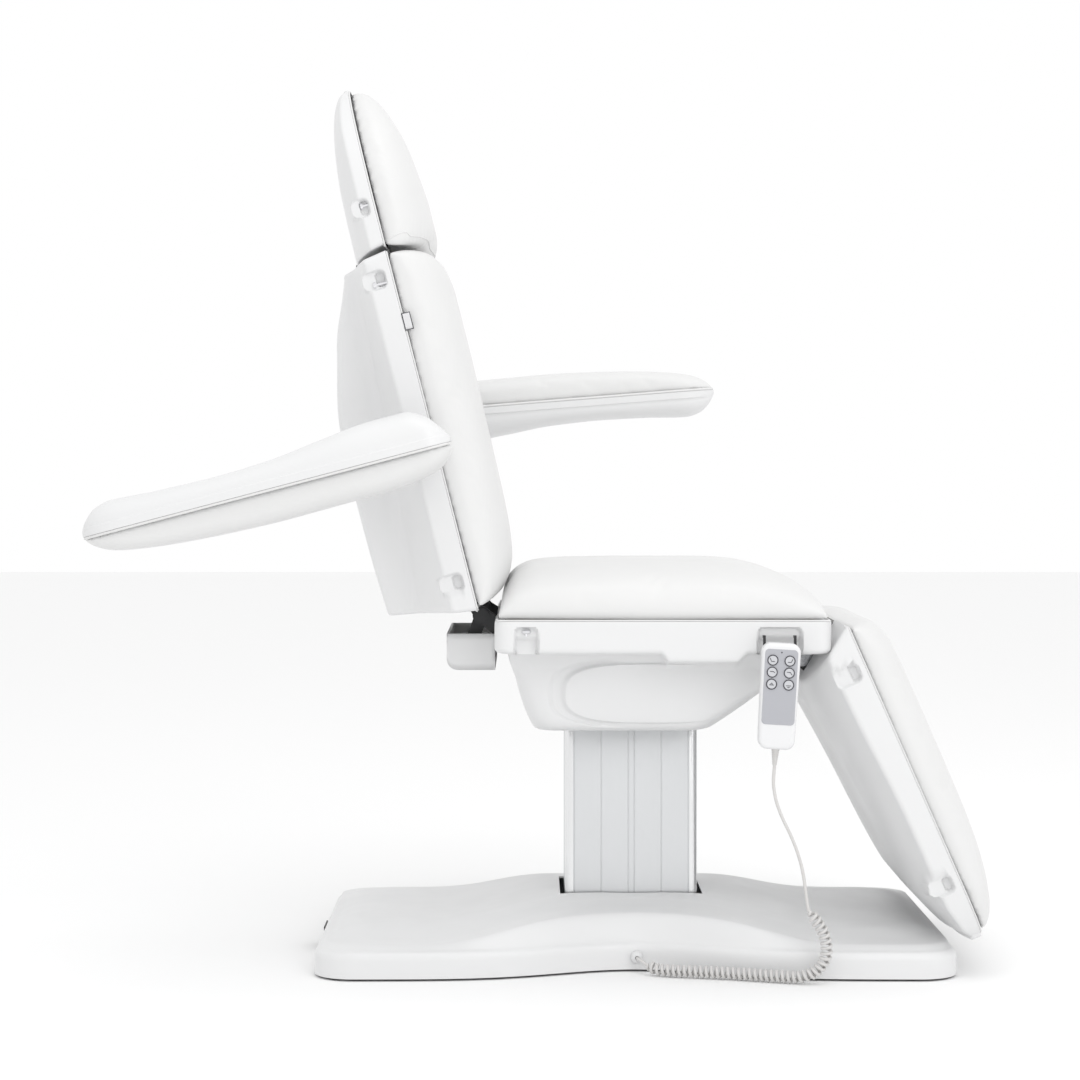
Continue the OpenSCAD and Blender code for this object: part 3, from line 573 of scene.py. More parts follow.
def screw_pocket(points, half, u0, u1, w_low, w_high, depth, deep, deep_w):
    """A screw recess in a side wall: a round-cornered floor set back from the wall, that
    stands proud of the sloping back of the shell, with a deeper seat for the screw."""
    u, y, w = points[..., 0], points[..., 1], points[..., 2]
    outer = 1 - step(rounded_box(u, w, u0, u1, w_low, w_high, .009), -.0022, .0018)
    seat = 1 - step(rounded_box(u, w, u0 + .004, u1 - .003, deep_w, w_high - .001, .005),
                    -.0014, .0012)
    floor = half - depth - (deep - depth) * seat
    k = outer * (np.abs(y) > half - 0.075)
    points[..., 1] = y * (1 - k) + np.sign(y) * floor * k
    return points


FLANGE = 0.014


def back_section(u):
    crease = smooth(u, [(0, .096), (.28, .074), (.45, .064), (.558, .058)])
    depth = smooth(u, [(0, .139), (.11, .143), (.20, .144), (.31, .141), (.43, .116),
                       (.47, .105), (.52, .087), (.558, .073)])
    spine = smooth(u, [(0, .178), (.28, .180), (.558, .206)])
    half = rounded_line([(HALF_W - FLANGE, 0), (HALF_W, 0), (HALF_W, -.036),
                         (spine + .014, -crease), (spine - .004, -depth), (0, -depth - 0.001)],
                        [.0016, .005, .020, .012], [3, 20, 26, 16, 14], 7)
    return mirrored(half)


def marks_with(low, high, spots, fine=0.0013, coarse=0.009):
    """Stations from low to high, closer together within the given spots."""
    out = [low]
    while out[-1] < high - 1e-9:
        u = out[-1]
        close = any(a - 0.006 < u < b + 0.004 for a, b in spots)
        out.append(min(u + (fine if close else coarse), high))
    return out


BACK_POCKETS = [(.034, .062), (.503, .531)]


def back_shell():
    r = 0.007
    spots = BACK_POCKETS
    rows = shell_rows(marks_with(r, BACK_L - r, spots), back_section,
                      lambda u: 0.15 * max(0.0, 1 - u / 0.11) - 0.17 * float(step(u, .44, .558)),
                      r)
    for u0, u1 in spots:
        screw_pocket(rows, HALF_W, u0, u1, -.047, -.009, .0075, .015, -.024)
    obj = grid_object("back_shell", BACK.world(rows))
    open_box(obj, BACK, (-.03, -.150, -.150), (.040, .150, .003))
    for y in (-.059, .059):
        open_box(obj, BACK, (.540, y - .011, -.062), (.580, y + .011, -.042))
    thicken(obj, WALL)
    sharp_by_angle(obj, 45)
    finish_piece(obj, "back", "white_plastic", "back_shell")


back_shell()


def head_round(u):
    return np.maximum(0, 1 - np.maximum(0, (u - .020) / (HEAD_L - .020))**2.5)**(1 / 2.5)


def head_half(u):
    return max(0.012, (HALF_W - .002) * float(head_round(u)))


def head_section(u):
    half = head_half(u)
    depth = float(smooth(u, [(0, .054), (.06, .053), (.11, .051), (.16, .046), (.21, .037),
                             (.245, .026), (.262, .017), (.270, .010)]))
    wall = min(.021, depth * 0.5)
    flat = half * 0.80
    half_line = rounded_line([(half - min(FLANGE, half / 3), 0), (half, 0), (half, -wall),
                              (flat, -depth * 0.86), (half * 0.45, -depth), (0, -depth)],
                             [.0016, .004, .030, .05], [3, 14, 22, 14, 10], 7)
    return mirrored(half_line)


HEAD_POCKETS = [(.046, .074)]


def head_shell():
    stations = marks_with(.006, .240, HEAD_POCKETS) + [.2465, .252, .2565, .260, .263, .2655,
                                                       .2675]
    rows = shell_rows(stations, head_section, lambda u: -0.23 * max(0.0, 1 - u / 0.10), 0.002,
                      0.006)
    for u0, u1 in HEAD_POCKETS:
        half = head_half((u0 + u1) / 2)
        screw_pocket(rows, half, u0, u1, -.036, -.007, .007, .013, -.021)
    obj = grid_object("head_shell", HEAD.world(rows))
    for y in (-.059, .059):
        open_box(obj, HEAD, (-.03, y - .011, -.064), (.005, y + .011, -.042))
    thicken(obj, WALL)
    sharp_by_angle(obj, 45)
    finish_piece(obj, "head", "white_plastic", "head_shell")


head_shell()

LEG_POCKETS = [(.055, .084), (.402, .429)]


def leg_half(u):
    return HALF_W - .060 + .060 * max(0.0, 1 - max(0.0, (u - .400) / .112)**3)**(1 / 3)


def leg_section(u):
    depth = float(smooth(u, [(0, .090), (.06, .091), (.12, .087), (.226, .078), (.37, .069),
                             (.425, .063), (.467, .050), (.494, .038), (.506, .027)]))
    wall = min(float(smooth(u, [(0, .046), (.115, .044), (.322, .034), (.508, .034)])),
               depth * 0.6)
    half = leg_half(u)
    half_line = rounded_line([(half - FLANGE, 0), (half, 0), (half, -wall),
                              (half - .055, -depth * 0.86), (half - .115, -depth),
                              (0, -depth - 0.001)],
                             [.0016, .006, .035, .04], [3, 18, 24, 14, 14], 7)
    return mirrored(half_line)


def leg_shell():
    stations = marks_with(.007, .470, LEG_POCKETS) + [.478, .485, .490, .494, .4985, .503, .506]
    rows = shell_rows(stations, leg_section, lambda u: 0.74 * max(0.0, 1 - u / 0.13), 0.008,
                      0.007)
    for u0, u1 in LEG_POCKETS:
        screw_pocket(rows, HALF_W, u0, u1, -.050, -.010, .0075, .015, -.024)
    obj = grid_object("leg_shell", LEG.world(rows))
    open_box(obj, LEG, (-.02, -.141, -.076), (.064, .141, .003))
    thicken(obj, WALL)
    sharp_by_angle(obj, 45)
    finish_piece(obj, "leg", "white_plastic", "leg_shell")


leg_shell()


# ---------- Cushions ----------

def cushion_start(name, place, stations, half, top, power=3.4, count=48, shrink=0.003):
    """The plain closed form that a cushion is blown up from."""
    rows = []
    a = np.pi * np.arange(count + 1) / count
    for u in stations:
        h, t = half(u) - shrink, top(u)
        y = h * np.sign(np.cos(a)) * np.abs(np.cos(a))**(2 / power)
        w = t * np.sin(a)**(2 / power)
        upper = np.column_stack([np.full_like(y, u), y, w])
        lower = upper[-2:0:-1] * [1, 1, 0]
        rows.append(np.vstack([upper, lower]))
    rows = np.array(rows)
    ends = []
    for row in (rows[0], rows[-1]):
        centre = row.mean(axis=0)
        ends.append([centre + (row - centre) * s for s in (0.0, 0.35, 0.7)])
    rows = np.concatenate([ends[0], rows, ends[1][::-1]])
    obj = grid_object(name, place.world(rows), ring=True)
    return obj


def blow_up(obj, voxel=0.005, pressure=4.0, cap=0.006):
    """Swells a closed form as foam under a tight cover, and keeps its moves small."""
    mod = obj.modifiers.new("remesh", "REMESH")
    mod.mode = "VOXEL"
    mod.voxel_size = voxel
    apply_modifiers(obj)
    n = len(obj.data.vertices)
    before = np.zeros(n * 3)
    obj.data.vertices.foreach_get("co", before)
    before = before.reshape(-1, 3)
    cloth = obj.modifiers.new("cloth", "CLOTH")
    s = cloth.settings
    s.quality = 5
    s.mass = 0.3
    s.tension_stiffness = 20
    s.compression_stiffness = 20
    s.shear_stiffness = 8
    s.bending_stiffness = 4
    s.use_pressure = True
    s.uniform_pressure_force = pressure
    s.effector_weights.gravity = 0
    cloth.collision_settings.use_collision = False
    cloth.collision_settings.use_self_collision = False
    scene = bpy.context.scene
    for f in range(1, 21):
        scene.frame_set(f)
    graph = bpy.context.evaluated_depsgraph_get()
    swollen = obj.evaluated_get(graph).to_mesh()
    after = np.zeros(n * 3)
    swollen.vertices.foreach_get("co", after)
    after = after.reshape(-1, 3)
    obj.evaluated_get(graph).to_mesh_clear()
    obj.modifiers.clear()
    scene.frame_set(1)
    move = after - before
    size = np.linalg.norm(move, axis=1)[:, None]
    move *= cap * np.tanh(size / cap) / np.maximum(size, 1e-9)
    obj.data.vertices.foreach_set("co", (before + move).ravel())
    obj.data.update()
    obj.data.shade_smooth()


def local_points(obj, place):
    n = len(obj.data.vertices)
    co = np.zeros(n * 3)
    obj.data.vertices.foreach_get("co", co)
    rel = co.reshape(-1, 3) - place.origin
    return np.column_stack([rel @ place.u, rel[:, 1], rel @ place.w])


def put_points(obj, place, points):
    obj.data.vertices.foreach_set("co", place.world(points).ravel())
    obj.data.update()


def relax(obj, factor=0.5, times=3):
    mod = obj.modifiers.new("relax", "SMOOTH")
    mod.factor = factor
    mod.iterations = times
    apply_modifiers(obj)


def subdivide(obj):
    mod = obj.modifiers.new("fine", "SUBSURF")
    mod.levels = 1
    apply_modifiers(obj)


def settle(obj, place, floor=0.0004, tuck=0.0012, height=0.003):
    """Lays the cushion's base flat on its board, with the cover tucked in at the seam."""
    p = local_points(obj, place)
    low = p[:, 2] < height
    centre = p[:, :2].mean(axis=0)
    inward = centre - p[:, :2]
    inward /= np.maximum(np.linalg.norm(inward, axis=1), 1e-6)[:, None]
    k = np.where(low, np.clip(1 - p[:, 2] / height, 0, 1)**2, 0)
    p[:, :2] += inward * (k * tuck)[:, None]
    p[:, 2] = np.maximum(p[:, 2], floor)
    put_points(obj, place, p)


def with_welt(obj, place, half, marks, inset=0.0014, radius=0.0014):
    """Adds the sewn edge that runs round the foot of a cushion."""
    ends = []
    for m, way in ((marks[0] + inset, 1), (marks[-1] - inset, -1)):
        h = half(m) - inset
        r = min(.004, h * .4)
        ends.append([(m, 0), (m, h - r), (m + way * r * .3, h - r * .3),
                     (m + way * r, half(m + way * r) - inset)])
    side = [(u, half(u) - inset) for u in marks if ends[0][-1][0] < u < ends[1][-1][0]]
    line = ends[0] + side + ends[1][::-1]
    line += [(u, -h) for u, h in line[-2::-1]]
    pts = even(place.world(np.array([(u, y, radius) for u, y in line])), 700)
    return join(obj.name, [obj, swept("welt", pts, radius, 10, first=place.w)])


def with_piping(obj):
    """Adds the piped seam that arches over the lower end of the headrest's cushion."""
    side = [(u, -head_half(max(u, 0)), w) for u, w in HEAD_PIPING]
    front = [(-.007, y, .072) for y in np.linspace(-.26, .26, 9)]
    path = side + front + [(u, -y, w) for u, y, w in side[::-1]]
    mesh = obj.data
    tree = BVHTree.FromPolygons([v.co for v in mesh.vertices],
                                [p.vertices for p in mesh.polygons])
    pts = even(through(HEAD.world(np.array(path)), 12), 400)
    pts = np.array([tree.find_nearest(Vector(p))[0] for p in pts])
    for _ in range(14):
        pts[1:-1] = (pts[:-2] + pts[1:-1] + pts[2:]) / 3
    return join(obj.name, [obj, swept("piping", even(pts, 400), .0012, 8)])


def cushion_piece(obj, place, body, node, half, marks):
    if node == "head_cushion":
        p = local_points(obj, place)
        p[:, 0] -= .16 * np.maximum(p[:, 2], 0) * np.clip(1 - p[:, 0] / .05, 0, 1)
        put_points(obj, place, p)
    blow_up(obj)
    relax(obj, 0.5, 4)
    settle(obj, place)
    subdivide(obj)
    if node == "head_cushion":
        obj = with_piping(obj)
    obj = with_welt(obj, place, half, marks)
    finish_piece(obj, body, "white_vinyl", node)


def stations_of(table, n):
    """Stations closer together near both ends."""
    a, b = table[0][0], table[-1][0]
    t = (1 - np.cos(np.pi * np.arange(n + 1) / n)) / 2
    return a + (b - a) * t


SEAT = Place((0, 0, SEAT_Z), 0)
SEAT_TOP = [(-.2115, .006), (-.2085, .022), (-.2000, .042), (-.182, .0635), (-.150, .075),
            (-.090, .079), (0, .080), (.110, .080), (.165, .077), (.205, .069),
            (.242, .055), (.268, .039), (.284, .025), (.2915, .008)]
BACK_TOP = [(.002, .014), (.007, .027), (.018, .041), (.038, .055), (.066, .064),
            (.130, .071), (.280, .075), (.430, .077), (.493, .077), (.524, .074),
            (.543, .065), (.553, .050), (.557, .026)]
HEAD_TOP = [(-.004, .042), (.000, .056), (.010, .066), (.034, .0705), (.080, .0705),
            (.110, .068), (.160, .062), (.210, .048), (.245, .032), (.262, .018),
            (.268, .010)]
HEAD_PIPING = [(.004, .002), (.0088, .0212), (.0092, .0457), (.003, .0574), (-.006, .066)]
LEG_TOP = [(.002, .010), (.006, .026), (.016, .042), (.036, .054), (.070, .060),
           (.160, .061), (.312, .060), (.380, .057), (.430, .050), (.468, .040),
           (.490, .031), (.503, .020), (.511, .009)]


def all_cushions():
    for name, place, table, half, body in (
            ("seat_cushion", SEAT, SEAT_TOP, lambda u: HALF_W - .003, "seat"),
            ("back_cushion", BACK, BACK_TOP, lambda u: HALF_W - .001, "back"),
            ("head_cushion", HEAD, HEAD_TOP, lambda u: head_half(u) - .001, "head"),
            ("leg_cushion", LEG, LEG_TOP, lambda u: leg_half(u) - .001, "leg")):
        obj = cushion_start(name, place, stations_of(table, 70), half,
                            lambda u, t=table: float(smooth(u, t)))
        marks = stations_of(table, 90)[1:-1]
        cushion_piece(obj, place, body, name, half, marks)


all_cushions()


# ---------- Armrests ----------

ARM_W = 0.110
ARM_TOP = [(0, .003), (.004, .013), (.012, .024), (.028, .035), (.053, .0415),
           (.106, .0465), (.186, .047), (.268, .048), (.342, .046), (.422, .0415),
           (.491, .034), (.522, .0275), (.543, .017), (.553, .008), (.5575, .003)]
ARM_LOW = [(0, .004), (.004, .013), (.014, .028), (.030, .046), (.058, .0585),
           (.106, .0585), (.186, .0505), (.268, .0405), (.349, .0375), (.438, .0395),
           (.505, .0435), (.530, .0375), (.546, .024), (.554, .012), (.5575, .005)]


def arm_half(u, inset=0.0):
    a = max(0.0, 1 - u / 0.042)
    b = max(0.0, (u - ARM_L + 0.070) / 0.070)
    return max(0.001, (ARM_W / 2 - inset) * max(0.0, 1 - max(a, b)**2.4)**(1 / 2.4))


def arm_stations():
    """Stations along an armrest, close together over its round ends."""
    t = np.linspace(0, math.pi, 90)
    return 0.001 + (ARM_L - 0.002) * (1 - np.cos(t) * (1 - 0.25 * np.sin(t)**2)) / 2


def arm_shell(name, place, body, hole_side):
    """The moulded shell, with a raised rim band next to the seam."""
    rows = []
    a = np.pi * np.arange(41) / 40
    for u in arm_stations():
        half, depth = arm_half(u), float(smooth(u, ARM_LOW))
        rim = min(0.011, depth * 0.55)
        rows.append([(u, half * .8, 0), (u, half, 0), (u, half, -rim * 0.5),
                     (u, half - .0002, -rim), (u, half - .0014, -rim - .0012)]
                    + [(u, (half - .0022) * np.sign(c) * abs(c)**0.72,
                        -rim - .0022 - max(depth - rim - .0022, .001) * s**0.80)
                       for c, s in zip(np.cos(a), np.sin(a))]
                    + [(u, -half + .0014, -rim - .0012), (u, -half + .0002, -rim),
                       (u, -half, -rim * 0.5), (u, -half, 0),
                       (u, -half * .8, 0)])
    rows = np.array(rows)
    first, last = rows[0].mean(axis=0), rows[-1].mean(axis=0)
    ends = [[first + (rows[0] - first) * s for s in (0.0, 0.5)],
            [last + (rows[-1] - last) * s for s in (0.5, 0.0)]]
    obj = grid_object(name, place.world(np.concatenate([ends[0], rows, ends[1]])))
    thicken(obj, WALL)
    hub = place.world(np.array([ARM_HINGE_U, hole_side * 0.06, ARM_HINGE_W]))
    cut_round(obj, hub, 0.012, 0.03)
    finish_piece(obj, body, "white_plastic", name)


def cut_round(obj, at, radius, reach):
    """Drills a round hole through a piece along Y."""
    bpy.ops.mesh.primitive_cylinder_add(vertices=48, radius=radius, depth=2 * reach,
                                        location=tuple(at), rotation=(math.pi / 2, 0, 0))
    cutter = bpy.context.object
    mod = obj.modifiers.new("hole", "BOOLEAN")
    mod.operation = "DIFFERENCE"
    mod.object = cutter
    mod.solver = "EXACT"
    apply_modifiers(obj)
    bpy.data.objects.remove(cutter)
    sharp_by_angle(obj, 40)


def arm_pad(name, place, body):
    """The padded top: it stands in from the shell's rim by a narrow step."""
    inset, n = 0.004, 28
    rows = []
    a = np.pi * np.arange(n + 1) / n
    for u in arm_stations()[1:-1]:
        half, t = arm_half(u, inset + 0.002), float(smooth(u, ARM_TOP)) - 0.002
        y = half * np.sign(np.cos(a)) * np.abs(np.cos(a))**0.62
        w = 0.0008 + t * np.sin(a)**0.78
        rows.append(np.vstack([np.column_stack([np.full_like(y, u), y, w]),
                               np.column_stack([np.full_like(y, u), y, 0 * y + .0008])[-2:0:-1]]))
    rows = np.array(rows)
    ends = [[row.mean(axis=0) + (row - row.mean(axis=0)) * s for s in (0, .5)]
            for row in (rows[0], rows[-1])]
    obj = grid_object(name, place.world(np.concatenate([ends[0], rows, ends[1][::-1]])), True)
    blow_up(obj, 0.004, 3.0, 0.004)
    relax(obj, 0.5, 3)
    settle(obj, place)
    subdivide(obj)
    obj = with_welt(obj, place, arm_half, arm_stations()[2:-2], .0022, .0022)
    finish_piece(obj, body, "white_vinyl", name)


for side, arm, hole_side in (("right", RIGHT_ARM, 1), ("left", LEFT_ARM, -1)):
    arm_shell(side + "_arm_shell", arm, side + "_arm", hole_side)
    arm_pad(side + "_arm_pad", arm, side + "_arm")


# ---------- Seat cover ----------

FLAT = Place((0, 0, 0), 0)
COLUMN_X, COLUMN_Y = 0.209, 0.160

TUB = 0.222
SEAT_LEVELS = [
    # left end, right end, half-width, corner radius, height
    (-.1985, .2790, .2905, .010, .5400), (-.2125, .2930, .3045, .020, .5400),
    (-.2135, .2935, .3050, .021, .5385),
    (-.2140, .2935, .3050, .022, .5250), (-.2140, .2935, .3050, .022, .5000),
    (-.2125, .2925, .3040, .022, .4955), (-.2080, .2890, .3000, .024, .4918),
    (-.2020, .2830, .2930, .026, .4902), (-.1975, .2740, .2650, .028, .4895),
    (-.1950, .2640, .2420, .030, .4880), (-.1940, .2590, .2340, .030, .4840),
    (-.1915, .2530, .2270, .032, .4720), (-.1880, .2440, .2240, .034, .4620),
    (-.1830, .2260, .2230, .036, .4480), (-.1780, .2010, .2215, .037, .4290),
    (-.1725, .1770, .2200, .038, .4110), (-.1660, .1520, .2180, .038, .3930),
    (-.1600, .1330, .2140, .038, .3800), (-.1540, .1180, .2050, .036, .3700),
    (-.1460, .1040, .1900, .032, .3655), (-.1300, .0880, .1700, .028, .3640)]


def plan_outline(x0, x1, half, r, along=170, across=36, arc=10):
    """A closed plan outline with round corners, always with as many points."""
    pts = []
    for k in range(along):
        pts.append((x0 + r + (x1 - x0 - 2 * r) * k / along, -half))
    corners = [((x1 - r, -half + r), -90, (x1, -half + r), (x1, half - r), across),
               ((x1 - r, half - r), 0, (x1 - r, half), (x0 + r, half), along),
               ((x0 + r, half - r), 90, (x0, half - r), (x0, -half + r), across),
               ((x0 + r, -half + r), 180, None, None, 0)]
    for (cx, cy), start, a, b, n in corners:
        for k in range(arc):
            t = math.radians(start + 90 * k / arc)
            pts.append((cx + r * math.cos(t), cy + r * math.sin(t)))
        for k in range(n):
            pts.append((a[0] + (b[0] - a[0]) * k / n, a[1] + (b[1] - a[1]) * k / n))
    return np.array(pts)


def fine_levels(levels, gap=0.004):
    """More levels between the given ones, on smooth curves."""
    levels = np.array(levels)
    at = np.concatenate([[0], np.cumsum(np.linalg.norm(np.diff(levels[:, :3], axis=0), axis=1)
                                        + np.abs(np.diff(levels[:, 4])))])
    n = int(at[-1] / gap)
    s = np.linspace(0, at[-1], n)
    return np.column_stack([smooth(s, np.column_stack([at, levels[:, k]])) for k in range(5)])


def seat_cover():
    rows = []
    for x0, x1, half, r, z in fine_levels(SEAT_LEVELS, 0.0028):
        ring = plan_outline(x0, x1, half, r)
        rows.append(np.column_stack([ring, np.full(len(ring), z)]))
    rows = np.array(rows)
    last = rows[-1]
    centre = last.mean(axis=0)
    floor = [centre + (last - centre) * s for s in (0.96, 0.88, 0.76, 0.6, 0.3, 0.0)]
    rows = np.concatenate([rows, floor])
    x, y, z = rows[..., 0], rows[..., 1], rows[..., 2]
    long_side = step(np.abs(y), TUB * 0.80, TUB * 0.93)
    # The band's lower edge runs lower beside the middle of the seat
    drop = step(x, .036, .050) * (1 - step(x, .150, .168)) * long_side
    z -= .013 * drop * (1 - step(z, .494, .520)) * step(z, .455, .4875)
    # A raised oval panel on each side of the tub, with a crescent at its rear end
    oval = (np.abs((x - .029) / .140)**3 + np.abs((z - .4255) / .047)**3)**(1 / 3)
    inside = (1 - step(oval, .955, 1.0)) * (1 - step(x, .05, .14))
    crescent = band(oval, 1.0, 1.13, .07) * step(.029 - x, .03, .10)
    on_tub = long_side * (np.abs(y) < TUB * 1.09)
    y += np.sign(y) * on_tub * (.0035 * inside - .0045 * crescent)
    # Recesses in the band: over a screw, and behind the handset
    for x0, x1, z0, z1, deep, r in ((-.183, -.149, .40, .531, .009, .010),
                                    (.1822, .2466, .40, .5306, .009, .008)):
        k = 1 - step(rounded_box(x, z, x0, x1, z0, z1, r), -.0016, .0016)
        floor = HALF_W - deep - .010 * (1 - step(z, z1 - .022, z1 - .012)) * (deep < .01)
        y[:] = np.where(np.abs(y) > floor, np.sign(y) * (np.abs(y) * (1 - k) + floor * k), y)
    obj = grid_object("seat_cover", rows, ring=True)
    open_box(obj, FLAT, (-COLUMN_X / 2 - .004, -COLUMN_Y / 2 - .004, .355),
             (COLUMN_X / 2 + .004, COLUMN_Y / 2 + .004, .385))
    open_box(obj, FLAT, (-.240, -.137, .460), (-.170, .137, .545))
    open_box(obj, FLAT, (.225, -.137, .458), (.320, .137, .545))
    thicken(obj, WALL)
    sharp_by_angle(obj, 45)
    finish_piece(obj, "seat", "white_plastic", "seat_cover")


seat_cover()


# ---------- Base cover ----------

BASE_L, BASE_W, BASE_H, WAIST = 0.976, 0.600, 0.100, 0.080
BASE_EDGE_H = 0.066
BASE_LEVELS = [
    # share of the length, share of the width at the ends and at the waist,
    # height (or drop below the crown), and whether it is a drop
    (1, 1, 1, .0030, 0), (1, 1, 1, .0300, 0), (.9985, .998, .998, .0345, 0),
    (.995, .993, .992, .0385, 0), (.988, .982, .978, .0425, 0),
    (.975, .90, .83, .0150, 1), (.955, .80, .62, .0125, 1), (.930, .72, .51, .0075, 1),
    (.905, .67, .46, .0035, 1), (.880, .63, .41, .0012, 1), (.85, .58, .36, 0, 1)]


def crown(x):
    """Height of the base cover along its middle."""
    return BASE_EDGE_H + (BASE_H - BASE_EDGE_H) * np.exp(-(x / 0.225)**4)


def base_cover():
    """The waisted cover: rings that rise over the edge and roll in to the crown."""
    levels = np.array(BASE_LEVELS)
    at = np.concatenate([[0], np.cumsum([.027, .005, .004, .005, .026, .03, .025, .02, .015,
                                         .02])])
    s = np.linspace(0, at[-1], 60)
    marks = [smooth(s, np.column_stack([at, levels[:, k]])) for k in (0, 1, 2)]
    ring = plan_outline(-BASE_L / 2, BASE_L / 2, BASE_W / 2, .060, 150, 50, 14)
    heights = smooth(s, np.column_stack([at[:5], levels[:5, 3]]))
    drops = smooth(s, np.column_stack([at[5:], levels[5:, 3]]))
    mix = step(s, at[4], at[5])
    rows = []
    for k in range(len(s)):
        x = ring[:, 0] * marks[0][k]
        waist = np.exp(-(ring[:, 0] / 0.165)**2)
        share = marks[1][k] + (marks[2][k] - marks[1][k]) * waist
        half = (1 - WAIST * waist / (BASE_W / 2)) * ring[:, 1] * share
        z = heights[k] * (1 - mix[k]) + (crown(x) - drops[k]) * mix[k]
        rows.append(np.column_stack([x, half, z]))
    last = rows[-1]
    for f in (.9, .75, .55, .3, 0.0):
        x = last[:, 0] * (.95 + .05 * f)
        rows.append(np.column_stack([x, last[:, 1] * f, crown(x)]))
    obj = grid_object("base_cover", rows, ring=True)
    open_box(obj, FLAT, (-COLUMN_X / 2 - .008, -COLUMN_Y / 2 - .008, .060),
             (COLUMN_X / 2 + .008, COLUMN_Y / 2 + .008, .120))
    open_box(obj, FLAT, (-BASE_L / 2 - .005, -.026, .008), (-BASE_L / 2 + .012, .026, .034))
    thicken(obj, WALL)
    sharp_by_angle(obj, 50)
    cut_round(obj, (.003, -.220, .023), .0075, .03)
    finish_piece(obj, "base", "white_plastic", "base_cover")


base_cover()


# ---------- Column ----------

def column_profile():
    """The outer profile's section: round corners and fine grooves."""
    x, y, r, d = COLUMN_X / 2, COLUMN_Y / 2, .010, .0018
    cuts_x = [-.0905, -.0475, -.0047, .0047, .0475, .0905]
    points = []

    def side(length, cuts):
        out = [(-length, 0.0)]
        for c in cuts:
            out += [(c - .0013, 0), (c - .0010, -d), (c + .0010, -d), (c + .0013, 0)]
        return out + [(length, 0.0)]

    for k, (long, away, cuts) in enumerate(((x - r, y, cuts_x), (y - r, x, [-.04, .04]),
                                            (x - r, y, cuts_x), (y - r, x, [-.04, .04]))):
        turn = math.pi / 2 * k - math.pi / 2
        for s, t in side(long, cuts):
            n = away + t
            points.append((math.cos(turn) * n - math.sin(turn) * s,
                           math.sin(turn) * n + math.cos(turn) * s))
        for j in range(1, 8):
            t = math.pi / 2 * j / 8
            cs, cn = long + r * math.sin(t), away - r + r * math.cos(t)
            points.append((math.cos(turn) * cn - math.sin(turn) * cs,
                           math.sin(turn) * cn + math.cos(turn) * cs))
    return np.array(points)


def column_outer():
    low, high, wall = .048, .480, .005
    outer = column_profile()
    inner = outer * [1 - 2 * wall / COLUMN_X, 1 - 2 * wall / COLUMN_Y]
    rows = [np.column_stack([ring, np.full(len(ring), z)])
            for ring, z in ((outer, low), (outer, high - .0006), (outer * .997, high),
                            (inner, high), (inner, low), (outer, low))]
    obj = grid_object("column_outer", rows, ring=True)
    sharp_by_angle(obj, 30)
    finish_piece(obj, "base", "aluminium", "column_outer")
    # The round corners get the lighter, glossier copy of the aluminium: a painted highlight where they catch the
    # light.
    obj.data.materials.append(M["aluminium_painted_highlight"])
    for f in obj.data.polygons:
        x, y, z = f.center
        if abs(x) > COLUMN_X / 2 - .0125 and abs(y) > COLUMN_Y / 2 - .0125:
            f.material_index = 1


column_outer()


# ---------- Rear hinge box ----------

def rear_box():
    """An open-topped box behind the seat, with a round lower rear edge."""
    x0, x1, y, z0, z1 = -.290, -.2145, .145, .4555, .512
    half = rounded_line([(x1, z0), (x0, z0), (x0, z1)], [.020], [8, 6], 10)
    rows = [np.column_stack([half[:, 0], np.full(len(half), t * y), half[:, 1]])
            for t in np.linspace(-1, 1, 25)]

    def cheek(yy):
        """A side wall, from the profile up to the rim."""
        return [np.column_stack([half[:, 0], np.full(len(half), yy),
                                 half[:, 1] + (z1 - half[:, 1]) * f])
                for f in np.linspace(0, 1, 6)]

    rows = cheek(-y)[::-1][:-1] + rows + cheek(y)[1:]
    obj = grid_object("rear_hinge_box", rows)
    thicken(obj, WALL)
    bevel(obj, .0012, 2, 50)
    finish_piece(obj, "seat", "white_plastic", "rear_hinge_box")


rear_box()


# ---------- Handset ----------

HAND_W, HAND_L, HAND_T = .058, .158, .026
HAND_TILT = math.radians(3.3)
HAND_AT = np.array([.2095, -.330, .4313])


def on_handset(points):
    """From the handset's face (right, up, out) to the bed's frame."""
    p = np.asarray(points, float)
    c, s = math.cos(HAND_TILT), math.sin(HAND_TILT)
    right, up, out = np.array([c, 0, -s]), np.array([s, 0, c]), np.array([0, -1.0, 0])
    return HAND_AT + p[..., 0:1] * right + p[..., 1:2] * up + p[..., 2:3] * out


def handset_ring(grow, z, n=14):
    """Outline of the handset: round corners, a little narrower at the cord's end."""
    r, x, y = .014, HAND_W / 2, HAND_L / 2
    pts = []
    for cx, cy, start in ((x - r, y - r, 0), (r - x, y - r, 90), (r - x, r - y, 180),
                          (x - r, r - y, 270)):
        for k in range(n + 1):
            t = math.radians(start + 90 * k / n)
            px, py = cx + (r + grow) * math.cos(t), cy + (r + grow) * math.sin(t)
            pts.append((px * (1 - .07 * float(step(-py, .02, .079))), py, z))
    return np.array(pts)


def handset_half(name, sign):
    """One half of the case, with a wide round edge."""
    rows = [handset_ring(0, 0)]
    edge, t = .0055, HAND_T / 2
    rows.append(handset_ring(0, sign * (t - edge)))
    for k in range(1, 7):
        a = math.pi / 2 * k / 6
        rows.append(handset_ring(-edge * (1 - math.cos(a)), sign * (t - edge + edge * math.sin(a))))
    last = rows[-1]
    for f in (.85, .5, .0):
        rows.append(last * [f, f, 1])
    obj = grid_object(name, on_handset(np.array(rows)), ring=True)
    thicken(obj, .0022)
    sharp_by_angle(obj, 50)
    finish_piece(obj, "seat", "handset_plastic", name)


